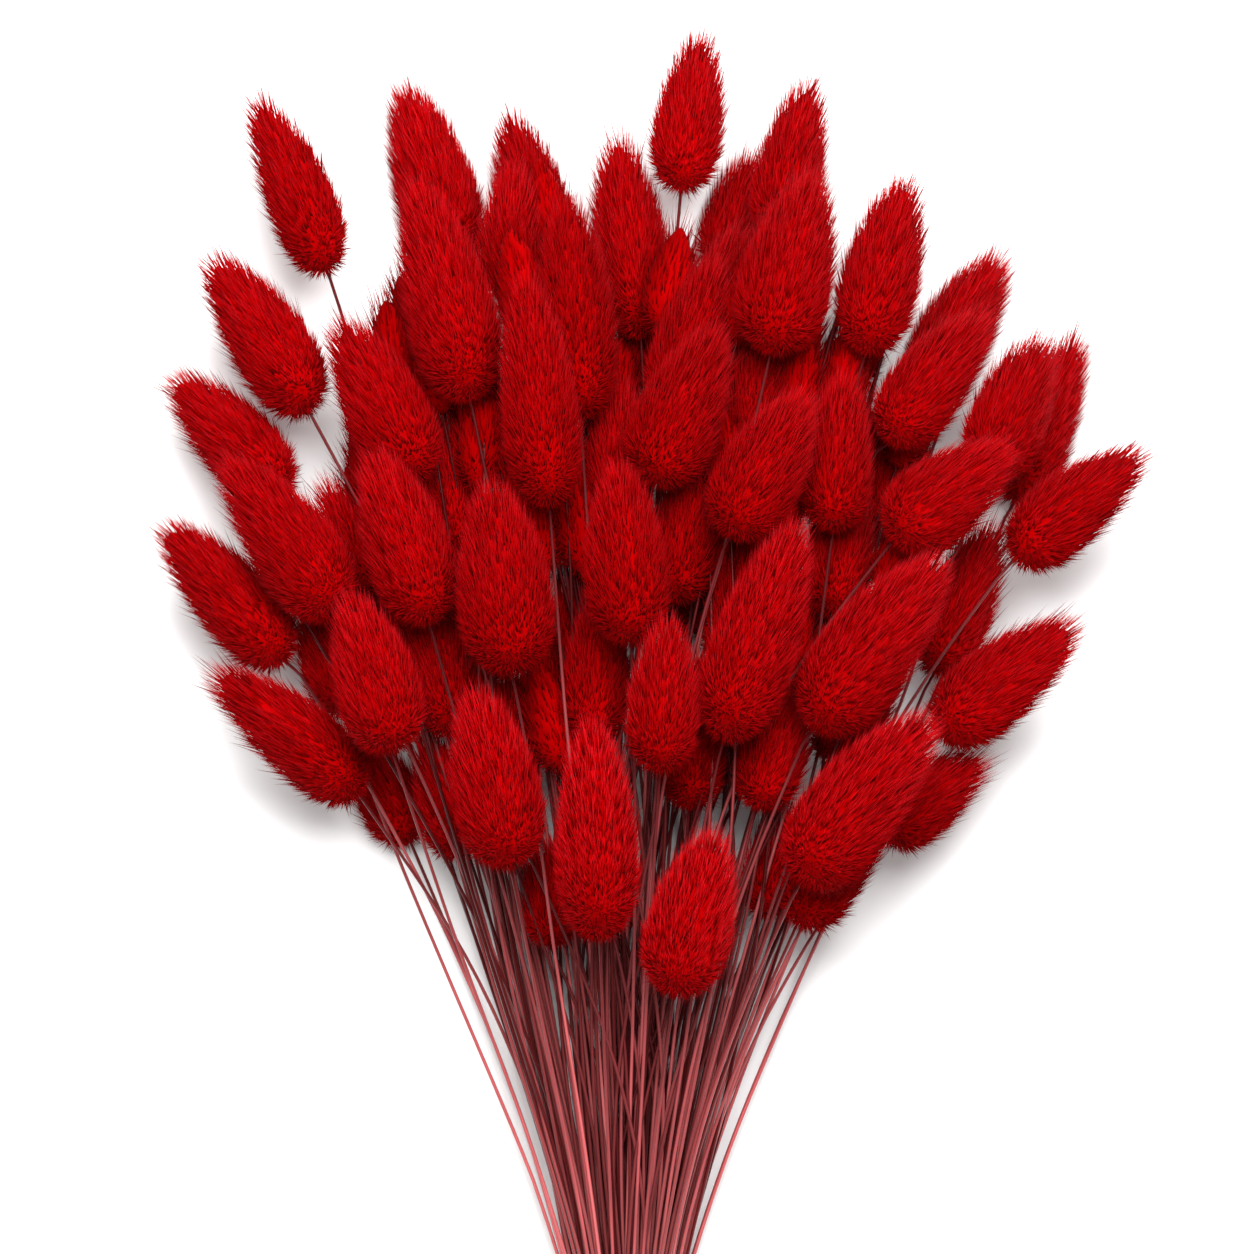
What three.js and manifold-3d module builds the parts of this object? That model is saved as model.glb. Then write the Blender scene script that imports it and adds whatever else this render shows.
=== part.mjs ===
// A tied bunch of dried, dyed bunny tail grass, lying on a table. Every stalk is one
// grown piece: a thin stem that ends in a dense seed head, whose hairy spikelets lean
// towards the tip. A few turns of twine hold the stalks together near their cut ends.
//
// Millimetres. X runs across the bunch, Y from the cut ends to the heads, Z up from the
// table. The layout is worked out with Y = 0 at the twine, and the finished bunch is
// then moved so that its origin is the middle of its footprint on the table.
import * as THREE from "three";
import { mergeVertices } from "three/addons/utils/BufferGeometryUtils.js";
import Module from "manifold-3d";

// Each head as it is seen from above: where the stem enters it, where its hairs end,
// how wide it is across the hairs, and how high its middle starts above the table.
const HEADS = [
  // base x, base y, tip x, tip y, width, height
  [-75.5, 287, -95, 333, 19.5, 34],
  [-44, 289.5, -57.5, 337, 22.5, 18],
  [-40, 254.5, -55, 311, 25, 44],
  [-20, 281.5, -31, 330, 21, 22],
  [-32, 280, -30, 313, 18, 38],
  [3.5, 271, -3, 325, 21.5, 24],
  [-7, 247.5, -10.5, 306, 22, 46],
  [-18.5, 229, -25, 288.5, 20.5, 64],
  [13.5, 307.5, 19, 348.5, 19.5, 34],
  [38, 294, 46.5, 337, 19, 26],
  [24, 288, 32, 317.5, 16, 12],
  [35.5, 266.5, 47, 312, 26, 50],
  [17, 269, 28.5, 297, 17.5, 30],
  [3.5, 249, 15, 289, 21, 42],
  [7, 233.5, 24, 273, 24.5, 62],
  [60, 267, 71, 312.5, 22, 40],
  [75.5, 258.5, 95.5, 293, 18.5, 14],
  [67.5, 244, 92.5, 276.5, 22, 36],
  [65.5, 220, 72, 251.5, 19, 16],
  [98, 229.5, 115, 273, 19, 14],
  [89.5, 236.5, 103.5, 272, 21.5, 34],
  [97, 215, 131, 242.5, 21.5, 38],
  [64.5, 220.5, 94, 243, 25, 56],
  [54, 221.5, 57.5, 260.5, 20.5, 52],
  [23.5, 186.5, 29.5, 221.5, 18.5, 40],
  [25.5, 221.5, 44.5, 257, 24.5, 68],
  [78, 186, 94.5, 224.5, 20.5, 28],
  [24, 170.5, 44, 227, 23.5, 74],
  [47, 172.5, 81, 216.5, 27, 64],
  [78.5, 170.5, 115, 199.5, 23, 38],
  [43.5, 135.5, 78, 178, 27, 66],
  [64.5, 145.5, 90, 165.5, 20.5, 30],
  [42.5, 124, 66.5, 156.5, 20, 36],
  [12, 107.5, 22, 148, 24.5, 66],
  [-7, 121, -9, 178, 22.5, 72],
  [-29, 139.5, -38, 185, 24.5, 62],
  [-58, 168, -69, 207, 23.5, 56],
  [-67.5, 156, -107, 188, 21.5, 36],
  [-55, 144, -69.5, 170.5, 16, 14],
  [-85.5, 189.5, -118.5, 225.5, 21.5, 32],
  [-73, 201, -102.5, 240.5, 24.5, 46],
  [-86.5, 230.5, -117, 262, 21.5, 24],
  [-80, 252, -107, 292.5, 22.5, 32],
  [-30.5, 156.5, -26.5, 190, 18.5, 30],
  [-49, 236, -70.5, 277.5, 23.5, 40],
  [-50.5, 199, -65.5, 242.5, 23.5, 58],
  [-29.5, 186.5, -35, 235, 26.5, 72],
  [1, 194.5, -2.5, 240, 22.5, 74],
  [8.5, 163, 10.5, 200.5, 19, 76],
  [-65, 206.5, -76.5, 235, 16, 24],
  [-72, 176, -82, 206.5, 16, 22],
  [29.5, 239, 35.5, 274, 18.5, 38],
  [33.5, 153, 43.5, 184, 18.5, 46],
  [-40.5, 233.5, -37.5, 269, 19, 18],
  [-12, 216, -13, 251.5, 20, 36],
  [-18.5, 118.5, -20.5, 144, 15.5, 30],
  [51, 201.5, 56.5, 236.5, 20, 36],
  [34.5, 125.5, 43.5, 153, 16.5, 26],
  [-41.5, 141.5, -50.5, 173, 17.5, 26],
];

// Heads deep in the bunch, which fill it between the ones above. Each is on a second
// stem that forks from the foot of the stalk beside it.
const INNER_HEADS = [
  [-4, 226, -4, 264, 18.5, 40],
  [13.5, 204, 19.5, 243, 19, 42],
  [-17, 179, -12.5, 216.5, 18.5, 32],
  [-9, 170, -7, 206.5, 18.5, 44],
  [16.5, 153.5, 18.5, 193, 18.5, 40],
  [-44, 170, -52, 209, 18.5, 32],
  [51, 164, 69.5, 196.5, 19, 32],
  [-44, 216.5, -48, 251.5, 18.5, 30],
];

// Seed heads
const HAIR_REACH = 1.02; // share of the seen width that the stiff spikelets fill
const CORE_SHARE = 0.7; // the core's radius as a share of the spikelets' reach
const WIDEST_AT = 0.3; // share of the length, from the base, where a head is widest
const TAPER_FROM = 1.9; // the higher, the later a head's taper sets in
const TAPER_BLUNTNESS = 0.75; // the lower, the blunter its tip
const HEAD_SIDES = 7;
const SMALL_HEAD_SIDES = 6;
const SMALL_HEAD_WIDTH = 18.6;
const HEAD_RINGS = 6;
const FIRST_RING = 0.03; // share of the length
const LAST_RING = 0.85;
const SPIKELET_LEAN = 0.1; // how far a spikelet leans forward, as a share of the length
const FIRST_SPIKELET_LEAN = 0.03; // at the base they stand straighter
const SPIKELET_VARIATION = 0.1;
const LEAN_VARIATION = 0.3;
const FIRST_SPIKELET_REACH = 0.1; // share of the length whose width the lowest ones have
const LAST_SPIKELET = 0.985; // share of the length
const HEAD_DROOP = 0.025; // how far a head's middle bows inwards, as a share of its length
const FULL_DROOP_AT = 60; // distance from the bunch's middle where heads droop in full
const HEAD_GAP = 0.5;
const HEAD_PASSES = 400;
const SIDEWAYS_GIVE = 0.3; // how easily heads give way sideways, and 1 is up and down
const BALLS = [0.1, 0.24, 0.38, 0.52, 0.66, 0.8, 0.93]; // where balls stand for a head
const RESTS_BELOW = 20; // a head listed lower than this rests on the table
const TABLE_PRESS = 1.5; // how deep the table presses into those heads

// Stems
const STEM_SIDES = 3;
const STEM_FOOT_RADIUS = 0.65;
const STEM_NECK_RADIUS = 0.48;
const STEM_GAP = 0.12;
const STEM_HEAD_GAP = 0.6;
const SPREAD_LIMIT = 0.6; // how steeply the bunch may open out beyond the twine
const STEM_SPLAY = 0.46; // how far a stem leaves the twine in line with its head
const NECK_SHARE = 0.12; // share of a head's length that gives its stem the direction
const HANDLE_AT_TWINE = 0.42; // length of a curve's handle, as a share of its run
const HANDLE_AT_NECK = 0.3;
const STEEPEST_NECK = 0.6; // the least share of its direction that a neck has along Y
const CURVE_SAMPLES = 120;
const FOOT_LENGTH = 56; // from the twine to the cut ends
const FOOT_VARIATION = 4;
const FORK_FROM = -16; // where a second stem starts to lean towards the foot it shares
const FORK_TO = -32;
const FOOT_FLARE = 0.55; // how much wider the bunch is at the cut ends than at the twine
const FLARE_CURVE = 1.3; // above 1, the feet open out more and more
const FAN_SLOPE = 0.5; // of the outermost stems, which pass the rim of the twine
const SLOT_PASSES = 600;
const SLOT_GATHER = 0.998; // how much the slots draw together in one pass
const LEAST_SLOT_GAP = 0.01; // slots closer than this count as this far apart
const STATION = 4; // spacing along Y of the points where stems push one another apart
const STEM_STIFFNESS = 0.5;
const STIFF_UNTIL = 0.6; // share of the passes after which stems are no longer straightened
const STEM_PASSES = 500;
const SMOOTHING_ROUNDS = 6;
const LONGEST_SHIFT = 1.2; // in one pass
const SHIFT_GAIN = 2.2; // makes up for what smoothing takes from a shift
const HELD_LENGTH = 1.5 * STATION; // of a stem, on each side of the twine's middle
const HELD_SHARE = 0.2; // of a shift, where the twine holds the stem
const ABOVE_TABLE = 0.05;
const SLOPE_LIMIT = 1.5; // how much longer than its run along Y a stretch may count
const SIDEWAYS_SHARE = 0.4; // of a stem's way round a head, for it goes over or under
const LEAST_APART = 0.02; // stems closer than this count as this far apart
const LEAST_ASIDE = 0.05; // the same for a stem and the middle of a head
const OUTLINE_TOLERANCE = 0.28; // a stem keeps only the stations that its bends need

// Twine
const TWINE_DIAMETER = 1.7;
const TWINE_TURNS = 4;
const TWINE_SEGMENTS = 14;
const BUNDLE_RADIUS = 8.3;
const TWINE_CLEARANCE = 0.35;
const TWINE_FLAT = 0.8; // how deep the table presses into the twine
const TWINE_BULGE = [-90, -30, 30]; // degrees round a turn of twine, for its corners
const KNOT_RADIUS = 2.3;
const KNOT_SHAPE = [1.2, 1, 0.9]; // its width, depth and height, as shares
const KNOT_RISE = 0.3; // of its radius, above the twine
const TWINE_END_LENGTH = 13;
const TWINE_END_BEND = new THREE.Vector3(0.6 * TWINE_END_LENGTH, 3, 3);
const TWINE_END_DROP = 3;
const TWINE_END_TURN = 4;
const TWINE_END_STEPS = 4;
const TWINE_END_CORNERS = 3; // to a half circle

const TWINE_INNER_RADIUS = BUNDLE_RADIUS + TWINE_CLEARANCE;
const TWINE_OUTER_RADIUS = TWINE_INNER_RADIUS + TWINE_DIAMETER;
const TIE_HEIGHT = TWINE_OUTER_RADIUS - TWINE_FLAT;
const KNOT_HEIGHT = TWINE_OUTER_RADIUS + KNOT_RISE * KNOT_RADIUS;
const STEM_REACH = BUNDLE_RADIUS - STEM_FOOT_RADIUS;

// The table, which is only used to flatten what lies on it
const TABLE_SIZE = 900;
const TABLE_DEPTH = 20;

const DYED_HEAD_RED = 0xb0040c;
const JUTE = 0xb89468;
const SEED = 20;
const UP = new THREE.Vector3(0, 0, 1);

const wasm = await Module();
wasm.setup();

// A small seeded generator of numbers from 0 to 1, so that every build is the same.
function seededRandom(seed) {
  let state = seed;
  return () => {
    state = (state + 0x6d2b79f5) | 0;
    let mixed = Math.imul(state ^ (state >>> 15), 1 | state);
    mixed = (mixed + Math.imul(mixed ^ (mixed >>> 7), 61 | mixed)) ^ mixed;
    return ((mixed ^ (mixed >>> 14)) >>> 0) / 4294967296;
  };
}

const random = seededRandom(SEED);
const vary = (share) => 1 + share * (2 * random() - 1);

// The outline of a head: its radius as a share of the largest one, at a share of its
// length from the base. A quarter ellipse rounds the base, and the rest tapers.
function headProfile(along) {
  if (along < WIDEST_AT) return Math.sqrt(1 - (1 - along / WIDEST_AT) ** 2);
  const past = (along - WIDEST_AT) / (1 - WIDEST_AT);
  return (1 - past ** TAPER_FROM) ** TAPER_BLUNTNESS;
}

// A head rises from the table as its stem does, and nods outwards a little.
function makeHead([baseX, baseY, tipX, tipY, width, height]) {
  const middle = new THREE.Vector3((baseX + tipX) / 2, (baseY + tipY) / 2, height);
  const along = new THREE.Vector3(tipX - baseX, tipY - baseY, 0);
  const seenLength = along.length();
  const climb = (height - TIE_HEIGHT) / Math.hypot(middle.x, middle.y);
  along.z = climb * seenLength;
  const outwards = new THREE.Vector3(Math.sign(middle.x) || 1, 0, 0);
  const axis = along.clone().normalize();
  const bow = outwards.addScaledVector(axis, -outwards.dot(axis)).normalize();
  const droop = HEAD_DROOP * Math.min(1, Math.abs(middle.x) / FULL_DROOP_AT);
  bow.multiplyScalar(-droop * along.length());
  return {
    middle,
    along,
    bow,
    radius: (width / 2) * HAIR_REACH,
    length: along.length(),
    rests: height < RESTS_BELOW,
    sides: width < SMALL_HEAD_WIDTH ? SMALL_HEAD_SIDES : HEAD_SIDES,
  };
}

// A point on a head's bowed axis.
function axisPoint(head, share) {
  const bowed = 4 * share * (1 - share);
  return head.middle
    .clone()
    .addScaledVector(head.along, share - 0.5)
    .addScaledVector(head.bow, bowed);
}

function headBalls(head) {
  return BALLS.map((share) => ({
    centre: axisPoint(head, share),
    radius: head.radius * headProfile(share),
  }));
}

// Heads that overlap push each other apart. They give way upwards and downwards far
// more easily than sideways, which keeps the bunch's look from above.
function settleHeads(heads) {
  const push = new THREE.Vector3();
  for (let pass = 0; pass < HEAD_PASSES; pass++) {
    const balls = heads.map(headBalls);
    const moves = heads.map(() => new THREE.Vector3());
    heads.forEach((head, i) => {
      for (let j = i + 1; j < heads.length; j++) {
        let deepest = 0;
        let found = null;
        for (const a of balls[i]) {
          for (const b of balls[j]) {
            const reach = a.radius + b.radius + HEAD_GAP;
            const depth = reach - a.centre.distanceTo(b.centre);
            if (depth > deepest) {
              deepest = depth;
              found = [a, b];
            }
          }
        }
        if (!found) continue;
        push.subVectors(found[1].centre, found[0].centre).normalize();
        const give = SIDEWAYS_GIVE * (1 - push.z ** 2) + push.z ** 2;
        push.set(push.x * SIDEWAYS_GIVE, push.y * SIDEWAYS_GIVE, push.z);
        push.multiplyScalar((0.5 * deepest) / give);
        moves[i].addScaledVector(push, -0.5);
        moves[j].addScaledVector(push, 0.5);
      }
      const lowest = Math.min(...balls[i].map((b) => b.centre.z - b.radius));
      const above = lowest + TABLE_PRESS;
      if (above < 0 || head.rests) moves[i].z -= above;
    });
    heads.forEach((head, i) => head.middle.add(moves[i]));
  }
}

// A stem runs from its cut end, through the twine, to the base of its head. Above the
// twine it is a Bezier curve that arrives in line with the head.
function layStem(head, slot) {
  const neck = axisPoint(head, 0);
  const into = axisPoint(head, NECK_SHARE).sub(neck).normalize();
  const start = new THREE.Vector3(slot.x, 0, TIE_HEIGHT + slot.y);
  const run = neck.clone().sub(start);
  const out = new THREE.Vector3(
    (STEM_SPLAY * run.x) / run.y,
    1,
    (STEM_SPLAY * run.z) / run.y,
  );
  const curve = new THREE.CubicBezierCurve3(
    start,
    start.clone().addScaledVector(out, HANDLE_AT_TWINE * run.y),
    neck.clone().addScaledVector(into, (-HANDLE_AT_NECK * run.y) / Math.max(into.y, STEEPEST_NECK)),
    neck,
  );
  const samples = curve.getPoints(CURVE_SAMPLES);
  const foot = -FOOT_LENGTH * vary(FOOT_VARIATION / FOOT_LENGTH);
  const points = [];
  const footStation = Math.ceil(foot / STATION);
  const neckStation = Math.ceil(neck.y / STATION) - 1;
  points.push(footPoint(slot, foot));
  for (let k = footStation; k <= neckStation; k++) {
    const y = k * STATION;
    points.push(y <= 0 ? footPoint(slot, y) : pointAt(samples, y));
  }
  points.push(neck);
  return { points, footStation, head, neck };
}

function footPoint(slot, y) {
  const flare = 1 + FOOT_FLARE * (-y / FOOT_LENGTH) ** FLARE_CURVE;
  return new THREE.Vector3(slot.x * flare, y, TIE_HEIGHT + slot.y * flare);
}

function pointAt(samples, y) {
  const k = samples.findIndex((p) => p.y >= y);
  const [a, b] = [samples[k - 1], samples[k]];
  return a.clone().lerp(b, (y - a.y) / (b.y - a.y));
}

function stemRadius(y, neckY) {
  const share = Math.min(1, Math.max(0, y / neckY));
  return STEM_FOOT_RADIUS + (STEM_NECK_RADIUS - STEM_FOOT_RADIUS) * share;
}

// Where each stem passes through the twine: in the direction of its head, as seen from
// the twine, and pushed apart until the stems fill a round bundle.
function packSlots(heads) {
  const slots = heads.map((head) => {
    const neck = axisPoint(head, 0);
    return new THREE.Vector2(neck.x / neck.y, (neck.z - TIE_HEIGHT) / neck.y);
  });
  const middle = slots.reduce((sum, s) => sum.add(s), new THREE.Vector2());
  middle.divideScalar(slots.length);
  slots.forEach((s) => s.sub(middle).multiplyScalar(STEM_REACH / FAN_SLOPE));
  const spacing = 2 * STEM_FOOT_RADIUS + STEM_GAP;
  for (let pass = 0; pass < SLOT_PASSES; pass++) {
    slots.forEach((a, i) => {
      for (const b of slots.slice(i + 1)) {
        const apart = a.distanceTo(b);
        if (apart >= spacing) continue;
        const push = b.clone().sub(a);
        push.multiplyScalar((spacing - apart) / (2 * Math.max(apart, LEAST_SLOT_GAP)));
        a.sub(push);
        b.add(push);
      }
    });
    slots.forEach((s) => s.multiplyScalar(SLOT_GATHER).clampLength(0, STEM_REACH));
  }
  return slots;
}

// Stems that meet, or that would cross a head, bend clear of it. Their shifts are
// smoothed along their length, because a stem bends in long curves.
function settleStems(stems, heads) {
  const balls = heads.map(headBalls);
  for (let pass = 0; pass < STEM_PASSES; pass++) {
    const shifts = stems.map((stem) => stem.points.map(() => [0, 0]));
    pushStemsApart(stems, shifts);
    pushStemsOffHeads(stems, shifts, heads, balls);
    stems.forEach((stem, i) => {
      const last = stem.points.length - 1;
      let shift = shifts[i].map(([x, z]) => {
        const share = Math.min(1, LONGEST_SHIFT / Math.max(Math.hypot(x, z), 1e-6));
        return [x * share, z * share];
      });
      for (let round = 0; round < SMOOTHING_ROUNDS; round++) {
        shift = shift.map((s, k) => {
          if (k === 0 || k === last) return s;
          const mix = (n) => 0.25 * shift[k - 1][n] + 0.5 * s[n] + 0.25 * shift[k + 1][n];
          return [mix(0), mix(1)];
        });
        shift[last] = [0, 0];
      }
      const stiffness = STEM_STIFFNESS * (1 - pass / (STIFF_UNTIL * STEM_PASSES));
      straighten(stem.points, Math.max(0, stiffness));
      stem.points.forEach((p, k) => {
        const free = Math.abs(p.y) < HELD_LENGTH ? HELD_SHARE : 1;
        p.x += SHIFT_GAIN * free * shift[k][0];
        p.z += SHIFT_GAIN * free * shift[k][1];
        p.z = Math.max(p.z, stemRadius(p.y, stem.neck.y) + ABOVE_TABLE);
        holdInTie(p);
      });
    });
  }
}

// A stem's stiffness draws every point of it towards the line between its neighbours.
function straighten(points, stiffness) {
  const before = points.map((p) => p.clone());
  points.slice(1, -1).forEach((p, k) => {
    p.x += stiffness * ((before[k].x + before[k + 2].x) / 2 - p.x);
    p.z += stiffness * ((before[k].z + before[k + 2].z) / 2 - p.z);
  });
}

// Within the twine a stem stays inside the bundle, which only opens out beyond it.
function holdInTie(p) {
  const opened = SPREAD_LIMIT * Math.max(0, Math.abs(p.y) - HELD_LENGTH);
  const [dx, dz] = [p.x, p.z - TIE_HEIGHT];
  const share = (STEM_REACH + opened) / Math.hypot(dx, dz);
  if (share >= 1) return;
  p.x = dx * share;
  p.z = TIE_HEIGHT + dz * share;
}

function stationPoint(stem, k) {
  const place = k - stem.footStation + 1;
  return place >= 1 && place < stem.points.length ? place : -1;
}

function slopeStretch(stem, place) {
  const a = stem.points[Math.max(place - 1, 0)];
  const b = stem.points[Math.min(place + 1, stem.points.length - 1)];
  return Math.min(SLOPE_LIMIT, b.distanceTo(a) / (b.y - a.y));
}

function pushStemsApart(stems, shifts) {
  const lastStation = Math.max(...stems.map((s) => s.footStation + s.points.length));
  for (let k = Math.floor(-FOOT_LENGTH / STATION); k < lastStation; k++) {
    const here = [];
    stems.forEach((stem, i) => {
      const place = stationPoint(stem, k);
      if (place >= 0) here.push([i, place, slopeStretch(stem, place)]);
    });
    here.forEach(([i, atI, slopeI], n) => {
      for (const [j, atJ, slopeJ] of here.slice(n + 1)) {
        const [a, b] = [stems[i].points[atI], stems[j].points[atJ]];
        const radii = stemRadius(a.y, stems[i].neck.y) + stemRadius(b.y, stems[j].neck.y);
        const reach = (radii + STEM_GAP) * Math.max(slopeI, slopeJ);
        const [dx, dz] = [b.x - a.x, b.z - a.z];
        const apart = Math.hypot(dx, dz);
        if (apart >= reach) continue;
        const push = (reach - apart) / (2 * Math.max(apart, LEAST_APART));
        shifts[i][atI][0] -= dx * push;
        shifts[i][atI][1] -= dz * push;
        shifts[j][atJ][0] += dx * push;
        shifts[j][atJ][1] += dz * push;
      }
    });
  }
}

function pushStemsOffHeads(stems, shifts, heads, balls) {
  const between = new THREE.Vector3();
  stems.forEach((stem, i) => {
    heads.forEach((head, j) => {
      if (stem.head === head) return;
      const near = head.length / 2 + head.radius;
      stem.points.forEach((p, k) => {
        if (p.distanceTo(head.middle) > near || k === stem.points.length - 1) return;
        let deepest = 0;
        let ball = null;
        for (const b of balls[j]) {
          const reach = b.radius + stemRadius(p.y, stem.neck.y) + STEM_HEAD_GAP;
          const depth = reach - p.distanceTo(b.centre);
          if (depth > deepest) [deepest, ball] = [depth, b];
        }
        if (!ball) return;
        between.subVectors(p, ball.centre);
        const aside = [SIDEWAYS_SHARE * between.x, between.z];
        const flat = Math.max(Math.hypot(...aside), LEAST_ASIDE);
        const [dx, dz] = [aside[0] / flat, aside[1] / flat];
        const inLine = between.x * dx + between.z * dz;
        const reach = p.distanceTo(ball.centre) + deepest;
        const root = Math.sqrt(inLine ** 2 + reach ** 2 - between.lengthSq());
        shifts[i][k][0] += dx * (root - inLine);
        shifts[i][k][1] += dz * (root - inLine);
      });
    });
  });
}

// The stations of a stem that its outline needs: the ends, and wherever a straight run
// between two kept stations would miss the stem's line.
function thinned(points) {
  const last = points.length - 1;
  const chord = new THREE.Line3(points[0], points[last]);
  const nearest = new THREE.Vector3();
  let worst = OUTLINE_TOLERANCE;
  let split = 0;
  for (let k = 1; k < last; k++) {
    chord.closestPointToPoint(points[k], true, nearest);
    const off = nearest.distanceTo(points[k]);
    if (off > worst) [worst, split] = [off, k];
  }
  if (!split) return [points[0], points[last]];
  return [...thinned(points.slice(0, split + 1)).slice(0, -1), ...thinned(points.slice(split))];
}

// A closed skin, built up from points and triangles of point numbers.
class Skin {
  constructor() {
    this.positions = [];
    this.triangles = [];
  }

  point(p) {
    this.positions.push(p.x, p.y, p.z);
    return this.positions.length / 3 - 1;
  }

  triangle(a, b, c) {
    this.triangles.push(a, b, c);
  }

  // Joins two rings of points, which may differ in number, with a band of triangles.
  band(lower, upper) {
    let [a, b] = [0, 0];
    while (a < lower.length || b < upper.length) {
      const turnA = (a + 1) / lower.length;
      const turnB = (b + 1) / upper.length;
      const l = lower[a % lower.length];
      const u = upper[b % upper.length];
      if (b >= upper.length || (a < lower.length && turnA <= turnB)) {
        this.triangle(l, lower[(a + 1) % lower.length], u);
        a++;
      } else {
        this.triangle(l, upper[(b + 1) % upper.length], u);
        b++;
      }
    }
  }

  geometry() {
    const geometry = new THREE.BufferGeometry();
    geometry.setAttribute("position", new THREE.Float32BufferAttribute(this.positions, 3));
    geometry.setIndex(this.triangles);
    return geometry;
  }
}

function addStem(skin, stem) {
  const rings = thinned(stem.points).map((p) => {
    const radius = stemRadius(p.y, stem.neck.y);
    return Array.from({ length: STEM_SIDES }, (_, side) => {
      const turn = (side * 2 * Math.PI) / STEM_SIDES;
      const corner = new THREE.Vector3(Math.sin(turn), 0, Math.cos(turn));
      return skin.point(corner.multiplyScalar(radius).add(p));
    });
  });
  const cut = rings[0];
  for (let side = 1; side < STEM_SIDES - 1; side++) {
    skin.triangle(cut[0], cut[side + 1], cut[side]);
  }
  rings.slice(1).forEach((ring, k) => skin.band(rings[k], ring));
  return rings[rings.length - 1];
}

// A head is a lattice of diamonds wound round its core, and from each diamond a
// spikelet stands out and leans towards the tip.
function addHead(skin, head, neckRing) {
  const { sides } = head;
  const axis = head.along.clone().normalize();
  const u = UP.clone().addScaledVector(axis, -UP.dot(axis)).normalize();
  const v = new THREE.Vector3().crossVectors(axis, u);
  const place = (share, turn, radius) =>
    axisPoint(head, share)
      .addScaledVector(u, radius * Math.cos(turn))
      .addScaledVector(v, radius * Math.sin(turn));
  const turnOf = (ring, side) => ((side + (ring % 2) / 2) * 2 * Math.PI) / sides;
  const shareOf = (ring) => FIRST_RING + (ring * (LAST_RING - FIRST_RING)) / HEAD_RINGS;
  const rings = Array.from({ length: HEAD_RINGS + 1 }, (_, ring) =>
    Array.from({ length: sides }, (_, side) => {
      const share = shareOf(ring);
      const radius = CORE_SHARE * head.radius * headProfile(share);
      return skin.point(place(share, turnOf(ring, side), radius));
    }),
  );
  const at = (ring, side) => rings[ring][(side + sides) % sides];
  const spikelet = (ring, side) => {
    const lean = (ring === 0 ? FIRST_SPIKELET_LEAN : SPIKELET_LEAN) * vary(LEAN_VARIATION);
    const share = Math.min(LAST_SPIKELET, shareOf(ring) + lean);
    const reach = headProfile(Math.max(share, FIRST_SPIKELET_REACH)) * vary(SPIKELET_VARIATION);
    return skin.point(place(share, turnOf(ring, side + 0.5), head.radius * reach));
  };
  skin.band(neckRing, rings[0]);
  for (let ring = 0; ring <= HEAD_RINGS; ring++) {
    for (let side = 0; side < sides; side++) {
      const [left, right] = [at(ring, side), at(ring, side + 1)];
      const beside = side + (ring % 2);
      const below = ring > 0 ? at(ring - 1, beside) : null;
      const above = ring < HEAD_RINGS ? at(ring + 1, beside) : null;
      const corners = [below, right, above, left].filter((c) => c !== null);
      const point = spikelet(ring, side);
      corners.forEach((corner, n) => {
        const next = corners[(n + 1) % corners.length];
        skin.triangle(corner, next, point);
      });
    }
  }
  const tip = skin.point(axisPoint(head, 1));
  rings[HEAD_RINGS].forEach((corner, side) => {
    skin.triangle(corner, at(HEAD_RINGS, side + 1), tip);
  });
}

// A closed geometry as a solid, for cutting and joining.
function solidOf(geometry) {
  const bare = geometry.index ? geometry.clone() : geometry;
  bare.deleteAttribute("normal");
  bare.deleteAttribute("uv");
  const merged = mergeVertices(bare, 1e-4);
  return new wasm.Manifold(
    new wasm.Mesh({
      numProp: 3,
      vertProperties: merged.attributes.position.array,
      triVerts: new Uint32Array(merged.index.array),
    }),
  );
}

function geometryOf(solid) {
  const { vertProperties, triVerts } = solid.getMesh();
  const geometry = new THREE.BufferGeometry();
  geometry.setAttribute("position", new THREE.BufferAttribute(vertProperties, 3));
  geometry.setIndex(new THREE.BufferAttribute(triVerts, 1));
  return geometry;
}

// The table as a solid. What it flattens is cut away.
function tableSolid() {
  const table = new THREE.BoxGeometry(TABLE_SIZE, TABLE_SIZE, TABLE_DEPTH);
  return solidOf(table.translate(0, 0, -TABLE_DEPTH / 2));
}

function stalkGeometry(stem) {
  const skin = new Skin();
  const neckRing = addStem(skin, stem);
  addHead(skin, stem.head, neckRing);
  return skin.geometry();
}

// A stalk, with the second stem that forks from its foot, if it has one.
function makeStalk(stem, second) {
  let geometry = stalkGeometry(stem);
  if (second) {
    const forked = solidOf(geometry).add(solidOf(stalkGeometry(second)));
    geometry = geometryOf(forked);
  }
  geometry.computeBoundingBox();
  if (geometry.boundingBox.min.z >= 0) return geometry;
  return geometryOf(solidOf(geometry).subtract(tableSolid()));
}

// Each inner stem forks from the nearest stalk that has no second stem yet: below the
// twine it leans over to that stalk's foot and ends inside it.
function joinForks(outer, inner) {
  const seconds = new Map();
  for (const stem of inner) {
    const lean = stem.points.find((p) => p.y >= FORK_FROM);
    const beside = (other) => other.points.find((p) => p.y >= FORK_FROM).distanceTo(lean);
    const free = outer.filter((other) => !seconds.has(other));
    const foot = free.reduce((best, other) => (beside(other) < beside(best) ? other : best));
    stem.points = stem.points.filter((p) => p.y >= FORK_FROM);
    stem.points.unshift(foot.points.find((p) => p.y >= FORK_TO).clone());
    seconds.set(foot, stem);
  }
  return seconds;
}

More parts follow.
